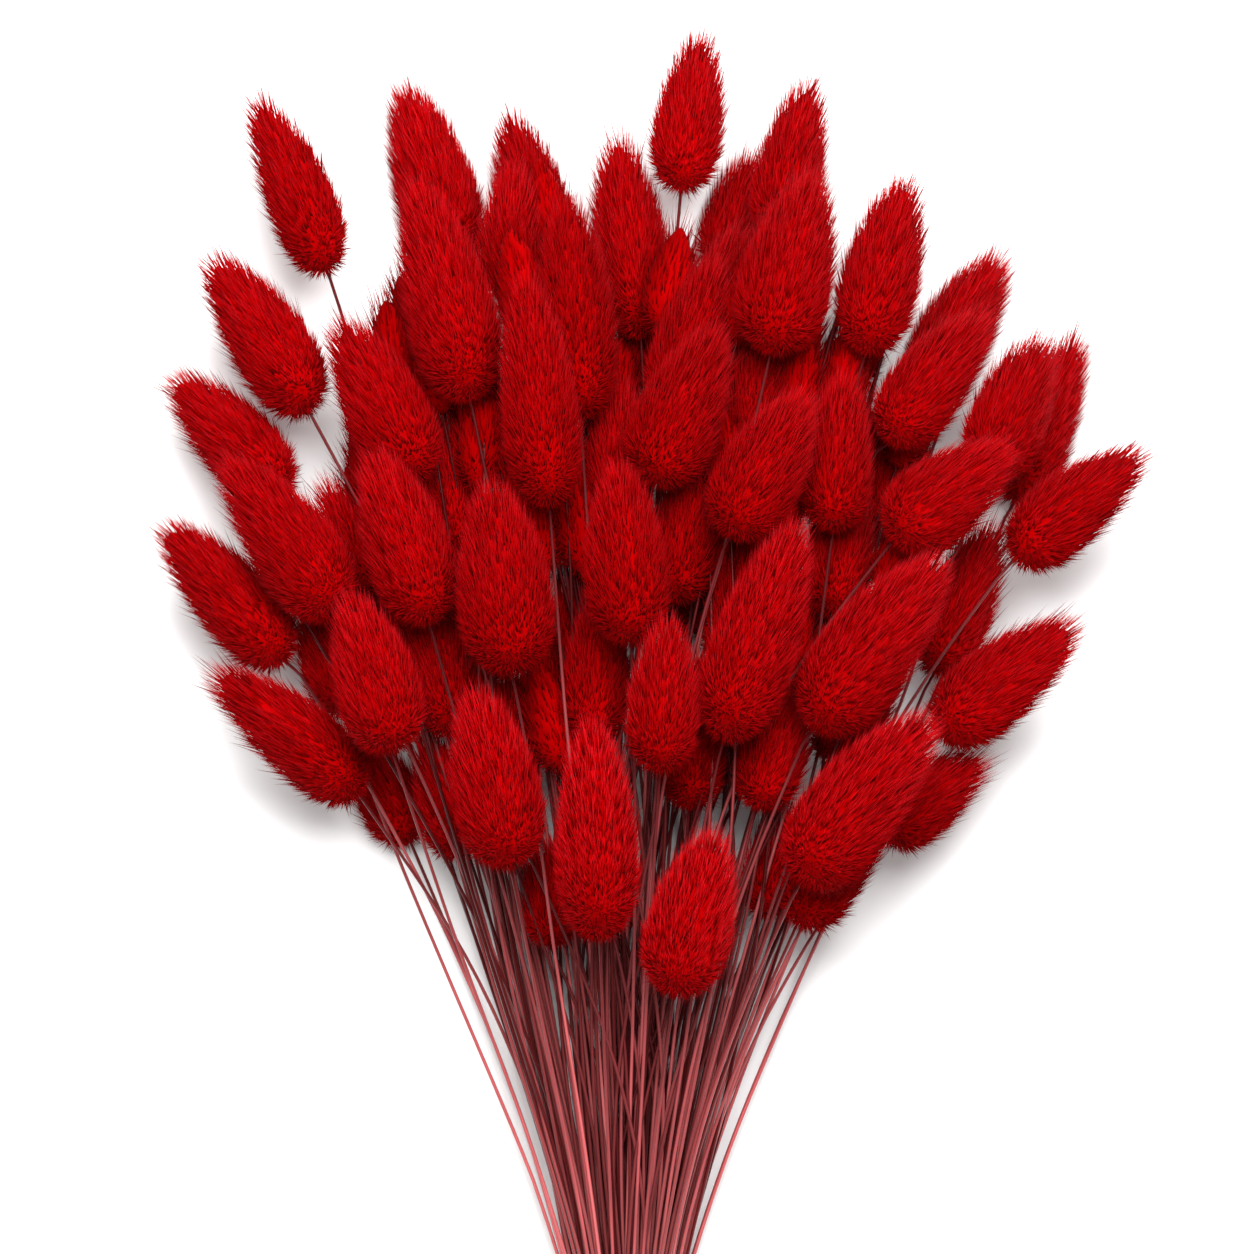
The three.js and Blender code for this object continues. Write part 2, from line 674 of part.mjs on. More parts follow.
// The turns of twine lie side by side, so together they are a ring with a scalloped
// outside. The knot sits on top, with two short ends.
function makeTie() {
  const half = TWINE_DIAMETER / 2;
  const width = TWINE_TURNS * TWINE_DIAMETER;
  const profile = [new THREE.Vector2(TWINE_INNER_RADIUS, width / 2)];
  profile.push(new THREE.Vector2(TWINE_INNER_RADIUS, -width / 2));
  for (let turn = 0; turn < TWINE_TURNS; turn++) {
    const middle = -width / 2 + (turn + 0.5) * TWINE_DIAMETER;
    for (const angle of TWINE_BULGE) {
      const tilt = THREE.MathUtils.degToRad(angle);
      const out = TWINE_INNER_RADIUS + half + half * Math.cos(tilt);
      profile.push(new THREE.Vector2(out, middle + half * Math.sin(tilt)));
    }
  }
  profile.push(new THREE.Vector2(TWINE_INNER_RADIUS + half, width / 2));
  profile.push(profile[0].clone());
  const ring = new THREE.LatheGeometry(profile, TWINE_SEGMENTS);
  ring.rotateY(Math.PI / TWINE_SEGMENTS);
  const knot = new THREE.IcosahedronGeometry(KNOT_RADIUS, 1);
  knot.scale(...KNOT_SHAPE).translate(0, 0, KNOT_HEIGHT);
  let tie = solidOf(ring).add(solidOf(knot));
  for (const side of [-1, 1]) {
    tie = tie.add(solidOf(twineEnd(side)));
  }
  const placed = geometryOf(tie).translate(0, 0, TIE_HEIGHT);
  return geometryOf(solidOf(placed).subtract(tableSolid()));
}

function twineEnd(side) {
  const knot = new THREE.Vector3(0, 0, KNOT_HEIGHT);
  const bend = TWINE_END_BEND.clone().setX(side * TWINE_END_BEND.x).add(knot);
  const end = new THREE.Vector3(side * TWINE_END_LENGTH, side * TWINE_END_TURN, -TWINE_END_DROP);
  const path = new THREE.QuadraticBezierCurve3(knot, bend, end.add(knot));
  const outline = new THREE.Shape();
  outline.absarc(0, 0, TWINE_DIAMETER / 2, 0, 2 * Math.PI);
  return new THREE.ExtrudeGeometry(outline, {
    steps: TWINE_END_STEPS,
    curveSegments: TWINE_END_CORNERS,
    extrudePath: path,
  });
}

function material(name, colour, roughness) {
  return new THREE.MeshStandardMaterial({ name, color: colour, roughness, metalness: 0 });
}

const heads = [...HEADS, ...INNER_HEADS].map(makeHead);
settleHeads(heads);
const slots = packSlots(heads);
const stems = heads.map((head, n) => layStem(head, slots[n]));
settleStems(stems, heads);
const stalks = stems.slice(0, HEADS.length);
const seconds = joinForks(stalks, stems.slice(HEADS.length));

const bunch = new THREE.Group();
bunch.name = "bunch";
const dyedGrass = material("dyed_grass", DYED_HEAD_RED, 0.9);
stalks.forEach((stem, n) => {
  const stalk = new THREE.Mesh(makeStalk(stem, seconds.get(stem)), dyedGrass);
  stalk.name = `stalk_${String(n + 1).padStart(2, "0")}`;
  bunch.add(stalk);
});
const tie = new THREE.Mesh(makeTie(), material("jute_twine", JUTE, 0.95));
tie.name = "twine_tie";
bunch.add(tie);

// The origin goes to the middle of the footprint, on the table.
const extent = new THREE.Box3().setFromObject(bunch);
const footprint = extent.getCenter(new THREE.Vector3());
bunch.position.set(-footprint.x, -footprint.y, -extent.min.z);

export default bunch;
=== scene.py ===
"""Looks for a tied bunch of dried, dyed bunny tail grass that lies on a table.

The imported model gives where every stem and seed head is. Each seed head gets a core and
thousands of fine hairs that lean towards its tip, each stem a round tapering stalk, and
the tie its twisted twine. Everything is in metres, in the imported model's own frame.
"""

import logging
import math
from dataclasses import dataclass, field
from enum import Enum
from typing import ClassVar, Iterable

import bpy
import numpy as np
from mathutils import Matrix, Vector

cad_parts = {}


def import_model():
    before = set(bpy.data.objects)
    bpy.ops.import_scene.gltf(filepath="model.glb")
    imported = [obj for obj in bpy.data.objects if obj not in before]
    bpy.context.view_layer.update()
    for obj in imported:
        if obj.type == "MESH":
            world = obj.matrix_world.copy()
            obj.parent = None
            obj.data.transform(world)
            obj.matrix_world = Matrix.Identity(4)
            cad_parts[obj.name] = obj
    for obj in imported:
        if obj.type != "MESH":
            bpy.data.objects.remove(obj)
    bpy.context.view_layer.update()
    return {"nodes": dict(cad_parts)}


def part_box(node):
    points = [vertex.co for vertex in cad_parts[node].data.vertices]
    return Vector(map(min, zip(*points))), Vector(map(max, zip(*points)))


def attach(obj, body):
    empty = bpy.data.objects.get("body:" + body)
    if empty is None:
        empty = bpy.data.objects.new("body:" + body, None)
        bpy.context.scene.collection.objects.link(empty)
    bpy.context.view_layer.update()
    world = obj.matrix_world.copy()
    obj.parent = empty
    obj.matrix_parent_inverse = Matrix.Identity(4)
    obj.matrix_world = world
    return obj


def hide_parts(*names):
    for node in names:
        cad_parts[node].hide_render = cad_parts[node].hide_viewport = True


log = logging.getLogger("bunny_tail_grass")

MM = 0.001
BODY = "root"
TIE_NODE = "twine_tie"
STALK_PREFIX = "stalk_"
BALL_SHARES = np.linspace(0.08, 0.92, 9)  # of a head's length, where balls fill it
FUR_SHARE = 0.86  # of the bake map's width; the stems have the rest
BAKE_MAP = "OFBake"  # the map that fur, stems and twine take their colours along
NOISE_RANGE = (0.3, 0.7)  # between which nearly all of a noise lies
ANY_WAY = ((-1.0, -1.0, -1.0), (1.0, 1.0, 1.0))  # the ends of a random vector
MAP_ENDS = (0.002, 0.998)  # within which places on the bake map are kept
TINY = 0.01 * MM  # the least distance to divide by, and the least drop of a stem's ring
SEED_STEP = 17.0  # between two pieces' seeds, so that their draws differ


class Slot(Enum):
    """The record's material slots."""

    GRASS = "dyed_grass"
    TWINE = "jute_twine"


class Draw(Enum):
    """What sets each random draw of a tree apart from its others."""

    FIBRE_TURN = 5
    FIBRE_LENGTH = 6
    FIBRE_SHADE = 8
    FIBRE_ROW = 9
    HAIR_LENGTH = 11
    HAIR_THICKNESS = 12
    HAIR_SHADE = 13
    HAIR_TURN = 14
    BRISTLE = 15


class HairPart(Enum):
    """Where along a hair a colour of its ramp sits, from the core to the hair's tip."""

    CORE = 0.28
    ROOT = 0.34
    MIDDLE = 0.6
    TIP = 1.0


Colour = tuple[float, float, float]
Point = tuple[float, float, float]
Stops = dict[float, Colour]  # a ramp's colour at each place from 0 to 1
Socket = bpy.types.NodeSocket
Value = Socket | bpy.types.Material | float | str | tuple[float, ...]  # for a node's input
Given = bpy.types.NodeOutputs  # the sockets of a tree's named inputs


def rgba(colour: Colour) -> tuple[float, float, float, float]:
    """Return an opaque colour for a socket."""
    return (*colour, 1.0)


class Tree:
    """A node tree that is built one node at a time."""

    def __init__(self, group: bpy.types.NodeTree) -> None:
        """Keep the tree.

        Args:
            group: The node tree, of a material or of geometry.
        """
        self.group = group

    def add(
        self, kind: str, inputs: dict[str | int, Value] | None = None, **settings: object
    ) -> bpy.types.Node:
        """Add a node.

        Args:
            kind: The node's type.
            inputs: For each input's name or number, a socket to link or a value.
            settings: Properties of the node.

        Returns:
            The new node.
        """
        node = self.group.nodes.new(kind)
        for name, value in settings.items():
            setattr(node, name, value)
        for key, value in (inputs or {}).items():
            self.feed(node.inputs[key], value)
        return node

    def feed(self, socket: Socket, value: Value) -> None:
        """Link a socket into an input, or set the input's value.

        Args:
            socket: The input.
            value: The socket to link, or the value.
        """
        if isinstance(value, bpy.types.NodeSocket):
            self.group.links.new(value, socket)
        else:
            socket.default_value = value

    def math(self, operation: str, *values: Value) -> Socket:
        """Return a number worked out from sockets and values."""
        inputs = dict(enumerate(values))
        return self.add("ShaderNodeMath", inputs, operation=operation).outputs[0]

    def vector(self, operation: str, *values: Value) -> Socket:
        """Return a vector worked out from sockets and values.

        Args:
            operation: What is done with them.
            values: The sockets and values, in order.

        Returns:
            The vector's socket.
        """
        node = self.add("ShaderNodeVectorMath", operation=operation)
        for number, value in enumerate(values):
            scales = operation == "SCALE" and number == 1
            self.feed(node.inputs["Scale" if scales else number], value)
        return node.outputs[0]

    def clamp(self, value: Socket, low: float, high: float) -> Socket:
        """Return a number held between two others."""
        return self.add("ShaderNodeClamp", {0: value, 1: low, 2: high}).outputs[0]

    def attribute(self, name: str, data_type: str = "FLOAT") -> Socket:
        """Return a named attribute's value."""
        kind = "GeometryNodeInputNamedAttribute"
        return self.add(kind, {"Name": name}, data_type=data_type).outputs["Attribute"]

    def store(
        self, geometry: Socket, name: str, value: Value, domain: str = "POINT"
    ) -> Socket:
        """Return geometry that carries a number under a name.

        Args:
            geometry: The geometry's socket.
            name: The attribute's name.
            value: The number's socket.
            domain: What each number belongs to.

        Returns:
            The geometry's socket.
        """
        inputs = {"Geometry": geometry, "Name": name, "Value": value}
        kind = "GeometryNodeStoreNamedAttribute"
        return self.add(kind, inputs, data_type="FLOAT", domain=domain).outputs[0]

    def store_map(self, geometry: Socket, across: Value, up: Value) -> Socket:
        """Return geometry whose corners have a place on the bake map.

        Args:
            geometry: The geometry's socket.
            across: The place across the map, from 0 to 1.
            up: The place up the map, from 0 to 1.

        Returns:
            The geometry's socket.
        """
        place = self.add("ShaderNodeCombineXYZ", {0: across, 1: up}).outputs[0]
        inputs = {"Geometry": geometry, "Name": BAKE_MAP, "Value": place}
        kind = "GeometryNodeStoreNamedAttribute"
        return self.add(kind, inputs, data_type="FLOAT2", domain="CORNER").outputs[0]

    def random(
        self,
        low: float | tuple[float, ...],
        high: float | tuple[float, ...],
        seed: Socket,
        draw: Draw,
        data_type: str = "FLOAT",
    ) -> Socket:
        """Return a random number or vector for each element.

        Args:
            low: The least value.
            high: The greatest value.
            seed: The piece's seed socket.
            draw: Which draw it is.
            data_type: FLOAT or FLOAT_VECTOR.

        Returns:
            The random value's socket.
        """
        own = self.math("MULTIPLY_ADD", seed, SEED_STEP, float(draw.value))
        node = self.add("FunctionNodeRandomValue", {"Seed": own}, data_type=data_type)
        wanted = "VALUE" if data_type == "FLOAT" else "VECTOR"
        ends = [s for s in node.inputs if s.type == wanted and s.name in ("Min", "Max")]
        ends[0].default_value, ends[1].default_value = low, high
        return next(s for s in node.outputs if s.type == wanted)

    def sweep(self, curve: Socket, radius: Value, along: Value, sides: Value) -> Socket:
        """Sweep a round section along a curve, with where each point is along and around.

        Args:
            curve: The curve's socket.
            radius: The section's radius at each point.
            along: Each point's share of the curve's length.
            sides: The section's number of sides.

        Returns:
            The swept geometry's socket.
        """
        known = self.store(curve, "along", along)
        inputs = {"Resolution": sides, "Radius": 1.0}
        ring = self.add("GeometryNodeCurvePrimitiveCircle", inputs)
        around = self.add("GeometryNodeSplineParameter").outputs["Factor"]
        section = self.store(ring.outputs[0], "around", around)
        inputs = {"Curve": known, "Profile Curve": section, "Scale": radius, "Fill Caps": True}
        return self.add("GeometryNodeCurveToMesh", inputs).outputs[0]

    def smoothed(self, curve: Socket, spacing: Value) -> Socket:
        """Round off a curve's corners.

        Args:
            curve: The curve's socket.
            spacing: The distance between its new points.

        Returns:
            The smooth curve's socket.
        """
        kind = "GeometryNodeCurveSplineType"
        smooth = self.add(kind, {0: curve}, spline_type="CATMULL_ROM").outputs[0]
        inputs = {"Curve": smooth, "Length": spacing}
        return self.add("GeometryNodeResampleCurve", inputs, mode="LENGTH").outputs[0]

    def pressed(self, geometry: Socket, softness: float) -> Socket:
        """Press what would sink into the table flat on it.

        Args:
            geometry: The geometry's socket.
            softness: The height over which it flattens.

        Returns:
            The geometry's socket, no lower than the table.
        """
        position = self.add("GeometryNodeInputPosition").outputs[0]
        x, y, height = self.add("ShaderNodeSeparateXYZ", {0: position}).outputs
        squared = self.math("MULTIPLY_ADD", height, height, softness**2)
        twice = self.math("ADD", height, self.math("SQRT", squared))
        raised = self.math("MULTIPLY", twice, 0.5)
        rested = self.add("ShaderNodeCombineXYZ", {0: x, 1: y, 2: raised}).outputs[0]
        return self.add("GeometryNodeSetPosition", {0: geometry, "Position": rested}).outputs[0]

    def finished(self, parts: Iterable[Socket], softness: float, material: Socket) -> Socket:
        """Join parts into one smooth, real mesh of one material that rests on the table.

        Args:
            parts: The parts' sockets.
            softness: The height over which what would sink into the table flattens.
            material: The material's socket.

        Returns:
            The geometry's socket.
        """
        join = self.add("GeometryNodeJoinGeometry")
        for part in parts:
            self.feed(join.inputs[0], part)
        rested = self.pressed(join.outputs[0], softness)
        smooth = self.add("GeometryNodeSetShadeSmooth", {0: rested}).outputs[0]
        real = self.add("GeometryNodeRealizeInstances", {0: smooth}).outputs[0]
        inputs = {"Geometry": real, "Material": material}
        return self.add("GeometryNodeSetMaterial", inputs).outputs[0]

    def folded_turn(self) -> Socket:
        """Return how far round a section a point is, there and back, so it has no seam."""
        twice = self.math("MULTIPLY_ADD", self.attribute("around"), 2.0, -1.0)
        return self.math("ABSOLUTE", twice)

    def turn_height(self) -> Socket:
        """Return the height round a section, which gives an end cap some width on a map."""
        angle = self.math("MULTIPLY", self.attribute("around"), 2 * math.pi)
        return self.math("SINE", angle)

    def spike(self) -> Socket:
        """Return a three-sided spike, one unit long and one in radius, round Z."""
        inputs = {"Vertices": 3, "Side Segments": 1, "Radius Top": 0.0, "Radius Bottom": 1.0}
        return self.add("GeometryNodeMeshCone", inputs | {"Depth": 1.0}, fill_type="NGON").outputs[0]


def new_material(name: str) -> tuple[bpy.types.Material, Tree, bpy.types.Node]:
    """Start a material.

    Args:
        name: The material's name.

    Returns:
        The material, a builder for its nodes, and its shader.
    """
    made = bpy.data.materials.new(name)
    made.use_nodes = True
    return made, Tree(made.node_tree), made.node_tree.nodes["Principled BSDF"]


def set_ramp(ramp: bpy.types.ColorRamp, stops: Stops) -> None:
    """Set a ramp's colours.

    Args:
        ramp: The ramp.
        stops: The colour at each place from 0 to 1.
    """
    places = sorted(stops)
    while len(ramp.elements) < len(places):
        ramp.elements.new(1.0)
    for element, place in zip(ramp.elements, places):
        element.position = place
        element.color = rgba(stops[place])


def mixed_ramps(
    tree: Tree,
    share: Socket,
    up: Socket,
    first: Stops,
    second: Stops,
) -> Socket:
    """Mix two colour ramps.

    Args:
        tree: The tree.
        share: How much of the second ramp there is.
        up: The place on both ramps.
        first: The first ramp's colour at each place.
        second: The second ramp's colour at each place.

    Returns:
        The colour.
    """
    colours = []
    for stops in (first, second):
        ramp = tree.add("ShaderNodeValToRGB", {0: up})
        set_ramp(ramp.color_ramp, stops)
        colours.append(ramp.outputs[0])
    inputs = {0: share, 6: colours[0], 7: colours[1]}
    return tree.add("ShaderNodeMix", inputs, data_type="RGBA").outputs[2]


def streaked(
    tree: Tree, place: Socket, scale: tuple[float, float, float], depth: float
) -> Socket:
    """Return a brightness that varies in streaks.

    Args:
        tree: The material's tree.
        place: Where a point lies on the map.
        scale: How often the streaks change across, along and through the map.
        depth: How far the brightness departs from 1.

    Returns:
        The brightness's socket.
    """
    stretched = tree.vector("MULTIPLY", place, scale)
    noise = tree.add("ShaderNodeTexNoise", {"Vector": stretched, "Scale": 1.0, "Detail": 3.0})
    low, high = NOISE_RANGE
    ends = {0: noise.outputs[0], 1: low, 2: high, 3: 1 - depth, 4: 1 + depth}
    return tree.add("ShaderNodeMapRange", ends).outputs[0]


def unit(vectors: np.ndarray) -> np.ndarray:
    """Return vectors at length one."""
    return vectors / np.linalg.norm(vectors, axis=-1, keepdims=True)


@dataclass(frozen=True)
class FurFinish:
    """The dyed hairs of a seed head, clear red along the hair, with painted shade that makes them a
    little darker towards the core.
    """

    # painted shade: the core and the roots are a little darker than the rest of the hair, as shade
    # between the hairs
    core: Colour = (0.28, 0.0, 0.0003)
    root: Colour = (0.3, 0.0, 0.0003)
    middle: Colour = (0.32, 0.0, 0.0003)
    tip: Colour = (0.35, 0.0005, 0.001)
    # painted sheen: the pinker, brighter tip colour that the lightest hairs are mixed towards
    painted_sheen_tip: Colour = (0.52, 0.012, 0.02)
    # brightness across the map, from the darkest hair to the lightest: random tone together with
    # painted light and shade
    tone_and_painted_light_range: tuple[float, float] = (0.55, 1.4)
    streaks: float = 0.06
    streak_scale: tuple[float, float, float] = (180.0, 12.0, 1.0)
    roughness: float = 0.75
    specular: float = 0.04
    specular_tint: Colour = (1.0, 0.12, 0.13)
    sheen: float = 0.03
    sheen_tint: Colour = (1.0, 0.12, 0.15)

    def material(self) -> bpy.types.Material:
        """Build the material.

        Returns:
            A material whose colour follows the bake map: its height runs along a hair and its width
            holds each hair's shade, random tone and darker bristles together with painted light,
            whose light end has a pinker painted sheen.
        """
        made, tree, shader = new_material("dyed_fur")
        place = tree.add("ShaderNodeUVMap", uv_map=BAKE_MAP).outputs[0]
        parts = tree.add("ShaderNodeSeparateXYZ", {0: place}).outputs
        share = tree.add("ShaderNodeMapRange", {0: parts[0], 2: FUR_SHARE}).outputs[0]
        # the lightest hairs are mixed towards the painted sheen and scaled brighter: painted light
        plain, painted_sheen = self.stops(self.tip), self.stops(self.painted_sheen_tip)
        colour = mixed_ramps(tree, share, parts[1], plain, painted_sheen)
        low, high = self.tone_and_painted_light_range
        shade = tree.add("ShaderNodeMapRange", {0: share, 3: low, 4: high}).outputs[0]
        streak = streaked(tree, place, self.streak_scale, self.streaks)
        shade = tree.math("MULTIPLY", shade, streak)
        tree.feed(shader.inputs["Base Color"], tree.vector("SCALE", colour, shade))
        shader.inputs["Roughness"].default_value = self.roughness
        shader.inputs["Specular IOR Level"].default_value = self.specular
        shader.inputs["Specular Tint"].default_value = rgba(self.specular_tint)
        shader.inputs["Sheen Weight"].default_value = self.sheen
        shader.inputs["Sheen Tint"].default_value = rgba(self.sheen_tint)
        return made

    def stops(self, tip: Colour) -> Stops:
        """Return a hair's colours along its length.

        Args:
            tip: The colour that it ends in.

        Returns:
            The colours.
        """
        return {
            HairPart.CORE.value: self.core,
            HairPart.ROOT.value: self.root,
            HairPart.MIDDLE.value: self.middle,
            HairPart.TIP.value: tip,
        }


@dataclass(frozen=True)
class StemFinish:
    """Smooth dyed stems, dusty rose to dark maroon, pale at the cut and darker upwards; the dark
    maroon end also serves as painted shade on stems deep in the bunch.
    """

    light: tuple[Colour, ...] = (
        (0.6, 0.25, 0.18),
        (0.66, 0.2, 0.2),
        (0.5, 0.1, 0.105),
        (0.06, 0.003, 0.004),
    )
    # the dark ramp: dark maroon tone, which also paints the shade on stems deep in the bunch
    dark: tuple[Colour, ...] = (
        (0.3, 0.1, 0.08),
        (0.055, 0.001, 0.002),
        (0.04, 0.001, 0.0015),
        (0.025, 0.0005, 0.001),
    )
    places: tuple[float, ...] = (0.0, 0.03, 0.5, 0.97)
    roughness: float = 0.34
    specular: float = 0.4
    specular_tint: Colour = (1.0, 0.2, 0.2)
    streaks: float = 0.3
    streak_scale: tuple[float, float, float] = (400.0, 14.0, 1.0)

    def material(self) -> bpy.types.Material:
        """Build the material.

        Returns:
            The stems' material.
        """
        made, tree, shader = new_material("dyed_stems")
        place = tree.add("ShaderNodeUVMap", uv_map=BAKE_MAP).outputs[0]
        parts = tree.add("ShaderNodeSeparateXYZ", {0: place}).outputs
        ends, kind = {0: parts[0], 1: FUR_SHARE}, "SMOOTHSTEP"
        share = tree.add("ShaderNodeMapRange", ends, interpolation_type=kind).outputs[0]
        dark, light = dict(zip(self.places, self.dark)), dict(zip(self.places, self.light))
        colour = mixed_ramps(tree, share, parts[1], dark, light)
        streak = streaked(tree, place, self.streak_scale, self.streaks)
        tree.feed(shader.inputs["Base Color"], tree.vector("SCALE", colour, streak))
        shader.inputs["Roughness"].default_value = self.roughness
        shader.inputs["Specular IOR Level"].default_value = self.specular
        shader.inputs["Specular Tint"].default_value = rgba(self.specular_tint)
        return made


@dataclass(frozen=True)
class TwineFinish:
    """Natural jute: pale brown fibres that run along each twisted strand."""

    light: Colour = (0.55, 0.38, 0.2)
    dark: Colour = (0.26, 0.15, 0.065)
    fibre_scale: tuple[float, float, float] = (60.0, 90.0, 1.0)  # across, along, through
    roughness: float = 0.85

    def material(self) -> bpy.types.Material:
        """Build the material.

        Returns:
            A material of fine fibres that follow the strands on the bake map.
        """
        made, tree, shader = new_material("jute_fibre")
        place = tree.add("ShaderNodeUVMap", uv_map=BAKE_MAP).outputs[0]
        stretched = tree.vector("MULTIPLY", place, self.fibre_scale)
        noise = tree.add("ShaderNodeTexNoise", {"Vector": stretched, "Scale": 1.0, "Detail": 4.0})
        ramp = tree.add("ShaderNodeValToRGB", {0: noise.outputs[0]})
        set_ramp(ramp.color_ramp, dict(zip(NOISE_RANGE, (self.dark, self.light))))
        tree.feed(shader.inputs["Base Color"], ramp.outputs[0])
        shader.inputs["Roughness"].default_value = self.roughness
        return made


@dataclass
class Core:
    """The solid core of a seed head, as a mesh."""

    points: np.ndarray
    faces: list[tuple[int, ...]]
    share: np.ndarray  # of the head's length, at each point
    turn: np.ndarray  # round the axis, from 0 to 1, at each point


@dataclass
class SeedHead:
    """One seed head: its axis from neck to tip, which may bow, and its widest radius."""

    neck: np.ndarray
    tip: np.ndarray
    bow: np.ndarray
    radius: float

    widest_at: ClassVar[float] = 0.3  # of the length
    taper: ClassVar[tuple[float, float]] = (1.9, 0.75)  # how full it is, and how blunt
    core_share: ClassVar[float] = 0.79  # of the head's radius
    core_end: ClassVar[float] = 0.88  # of the length
    first_ring: ClassVar[float] = 0.12  # radians round the core's end, up to its first ring
    rings: ClassVar[int] = 13
    sides: ClassVar[int] = 14
    bow_part: ClassVar[tuple[float, float]] = (0.35, 0.65)  # of the length, for its bow
    body_part: ClassVar[tuple[float, float]] = (0.2, 0.75)  # of the length, for its radius
    outermost: ClassVar[float] = 0.82  # of the longest reach, which the spikelets' ends have

    @classmethod
    def from_points(cls, neck: np.ndarray, points: np.ndarray) -> "SeedHead":
        """Measure a head.

        Args:
            neck: Where the stem ends.
            points: The head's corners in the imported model.

        Returns:
            The head with its axis, its bow and its widest radius.
        """
        tip = points[np.argmax(np.linalg.norm(points - neck, axis=1))]
        chord = tip - neck
        share = (points - neck) @ chord / (chord @ chord)
        middle = points[(share > cls.bow_part[0]) & (share < cls.bow_part[1])]
        bow = middle.mean(axis=0) - neck
        bow -= chord * (bow @ chord) / (chord @ chord)
        head = cls(neck, tip, bow, 1.0)
        inside = (share > cls.body_part[0]) & (share < cls.body_part[1])
        reach = [
            np.linalg.norm(p - head.axis_point(s)) / head.profile(s)
            for p, s in zip(points[inside], share[inside])
        ]
        longest = np.array(reach)
        head.radius = float(longest[longest > cls.outermost * longest.max()].mean())
        return head

    @property
    def length(self) -> float:
        """The distance from the neck to the tip."""
        return float(np.linalg.norm(self.tip - self.neck))

    def profile(self, share: float) -> float:
        """Return the outline's radius.

        Args:
            share: The place along the length, from 0 to 1.

        Returns:
            The radius, where 1 is the widest.
        """
        if share < self.widest_at:
            return math.sqrt(max(0.0, 1 - (1 - share / self.widest_at) ** 2))
        past = min(1.0, (share - self.widest_at) / (1 - self.widest_at))
        full, blunt = self.taper
        return (1 - past**full) ** blunt

    def axis_point(self, share: float) -> np.ndarray:
        """Return a point on the bowed axis."""
        return self.neck + (self.tip - self.neck) * share + self.bow * 4 * share * (1 - share)

    def balls(self) -> tuple[np.ndarray, np.ndarray]:
        """Return the middles and radii of the balls that fill the head."""
        middles = self.axis_point(BALL_SHARES[:, None])
        return middles, self.radius * np.array([self.profile(share) for share in BALL_SHARES])

    def clear_of(self, points: np.ndarray, room: np.ndarray | float, share: float) -> bool:
        """Return whether the head stays clear of some balls.

        Args:
            points: The balls' middles.
            room: Their radii, or the one radius of all.
            share: The share of both radii that may not meet.

        Returns:
            Whether it does.
        """
        here, size = self.balls()
        apart = np.linalg.norm(here[:, None] - points[None], axis=2)
        return bool((apart > share * (size[:, None] + room)).all())

    def ring(self, share: float, radius: float) -> np.ndarray:
        """Return one ring of the core's corners.

        Args:
            share: The ring's place along the head.
            radius: The ring's radius.

        Returns:
            The corners, in order round the axis.
        """
        axis = (self.tip - self.neck) / self.length
        across = np.cross(axis, (0.0, 0.0, 1.0))
        across /= np.linalg.norm(across)
        upwards = np.cross(axis, across)
        turns = np.arange(self.sides) * 2 * math.pi / self.sides
        spokes = np.outer(np.cos(turns), across) + np.outer(np.sin(turns), upwards)
        return self.axis_point(share) + radius * spokes

    def core(self) -> Core:
        """Build the solid core that the hairs grow from.

        Returns:
            The core.
        """
        angles = np.linspace(self.first_ring, math.pi, self.rings)[:-1]
        shares = self.core_end * (1 - np.cos(angles)) / 2
        points = [self.axis_point(0.0)]
        along = [0.0]
        for share in shares:
            radius = self.core_share * self.radius * self.profile(share / self.core_end)
            points.extend(self.ring(share, radius))
            along.extend([share] * self.sides)
        points.append(self.axis_point(self.core_end))
        along.append(self.core_end)
        turn = np.tile(np.arange(self.sides) / self.sides, len(shares))
        turn = np.concatenate([[0.5], turn, [0.5]])
        return Core(np.array(points), self.core_faces(len(shares)), np.array(along), turn)

    def core_faces(self, rings: int) -> list[tuple[int, ...]]:
        """Return the core's faces, which face outwards.

        Args:
            rings: The number of rings between the two end points.

        Returns:
            The faces as corner numbers.
        """
        faces: list[tuple[int, ...]] = []
        last = 1 + rings * self.sides
        for side in range(self.sides):
            after = (side + 1) % self.sides
            faces.append((0, 1 + after, 1 + side))
            for ring in range(rings - 1):
                low = 1 + ring * self.sides
                high = low + self.sides
                faces.append((low + side, low + after, high + after, high + side))
            top = 1 + (rings - 1) * self.sides
            faces.append((top + side, top + after, last))
        return faces


@dataclass
class Stem:
    """One stem, from its cut end to its neck."""

    points: np.ndarray
    foot_radius: float = 0.5 * MM
    neck_radius: float = 0.4 * MM

    def shares(self) -> np.ndarray:
        """Return each point's share of the stem's length, from its foot."""
        far = np.cumsum(np.linalg.norm(np.diff(self.points, axis=0), axis=1))
        return np.concatenate([[0.0], far]) / far[-1]


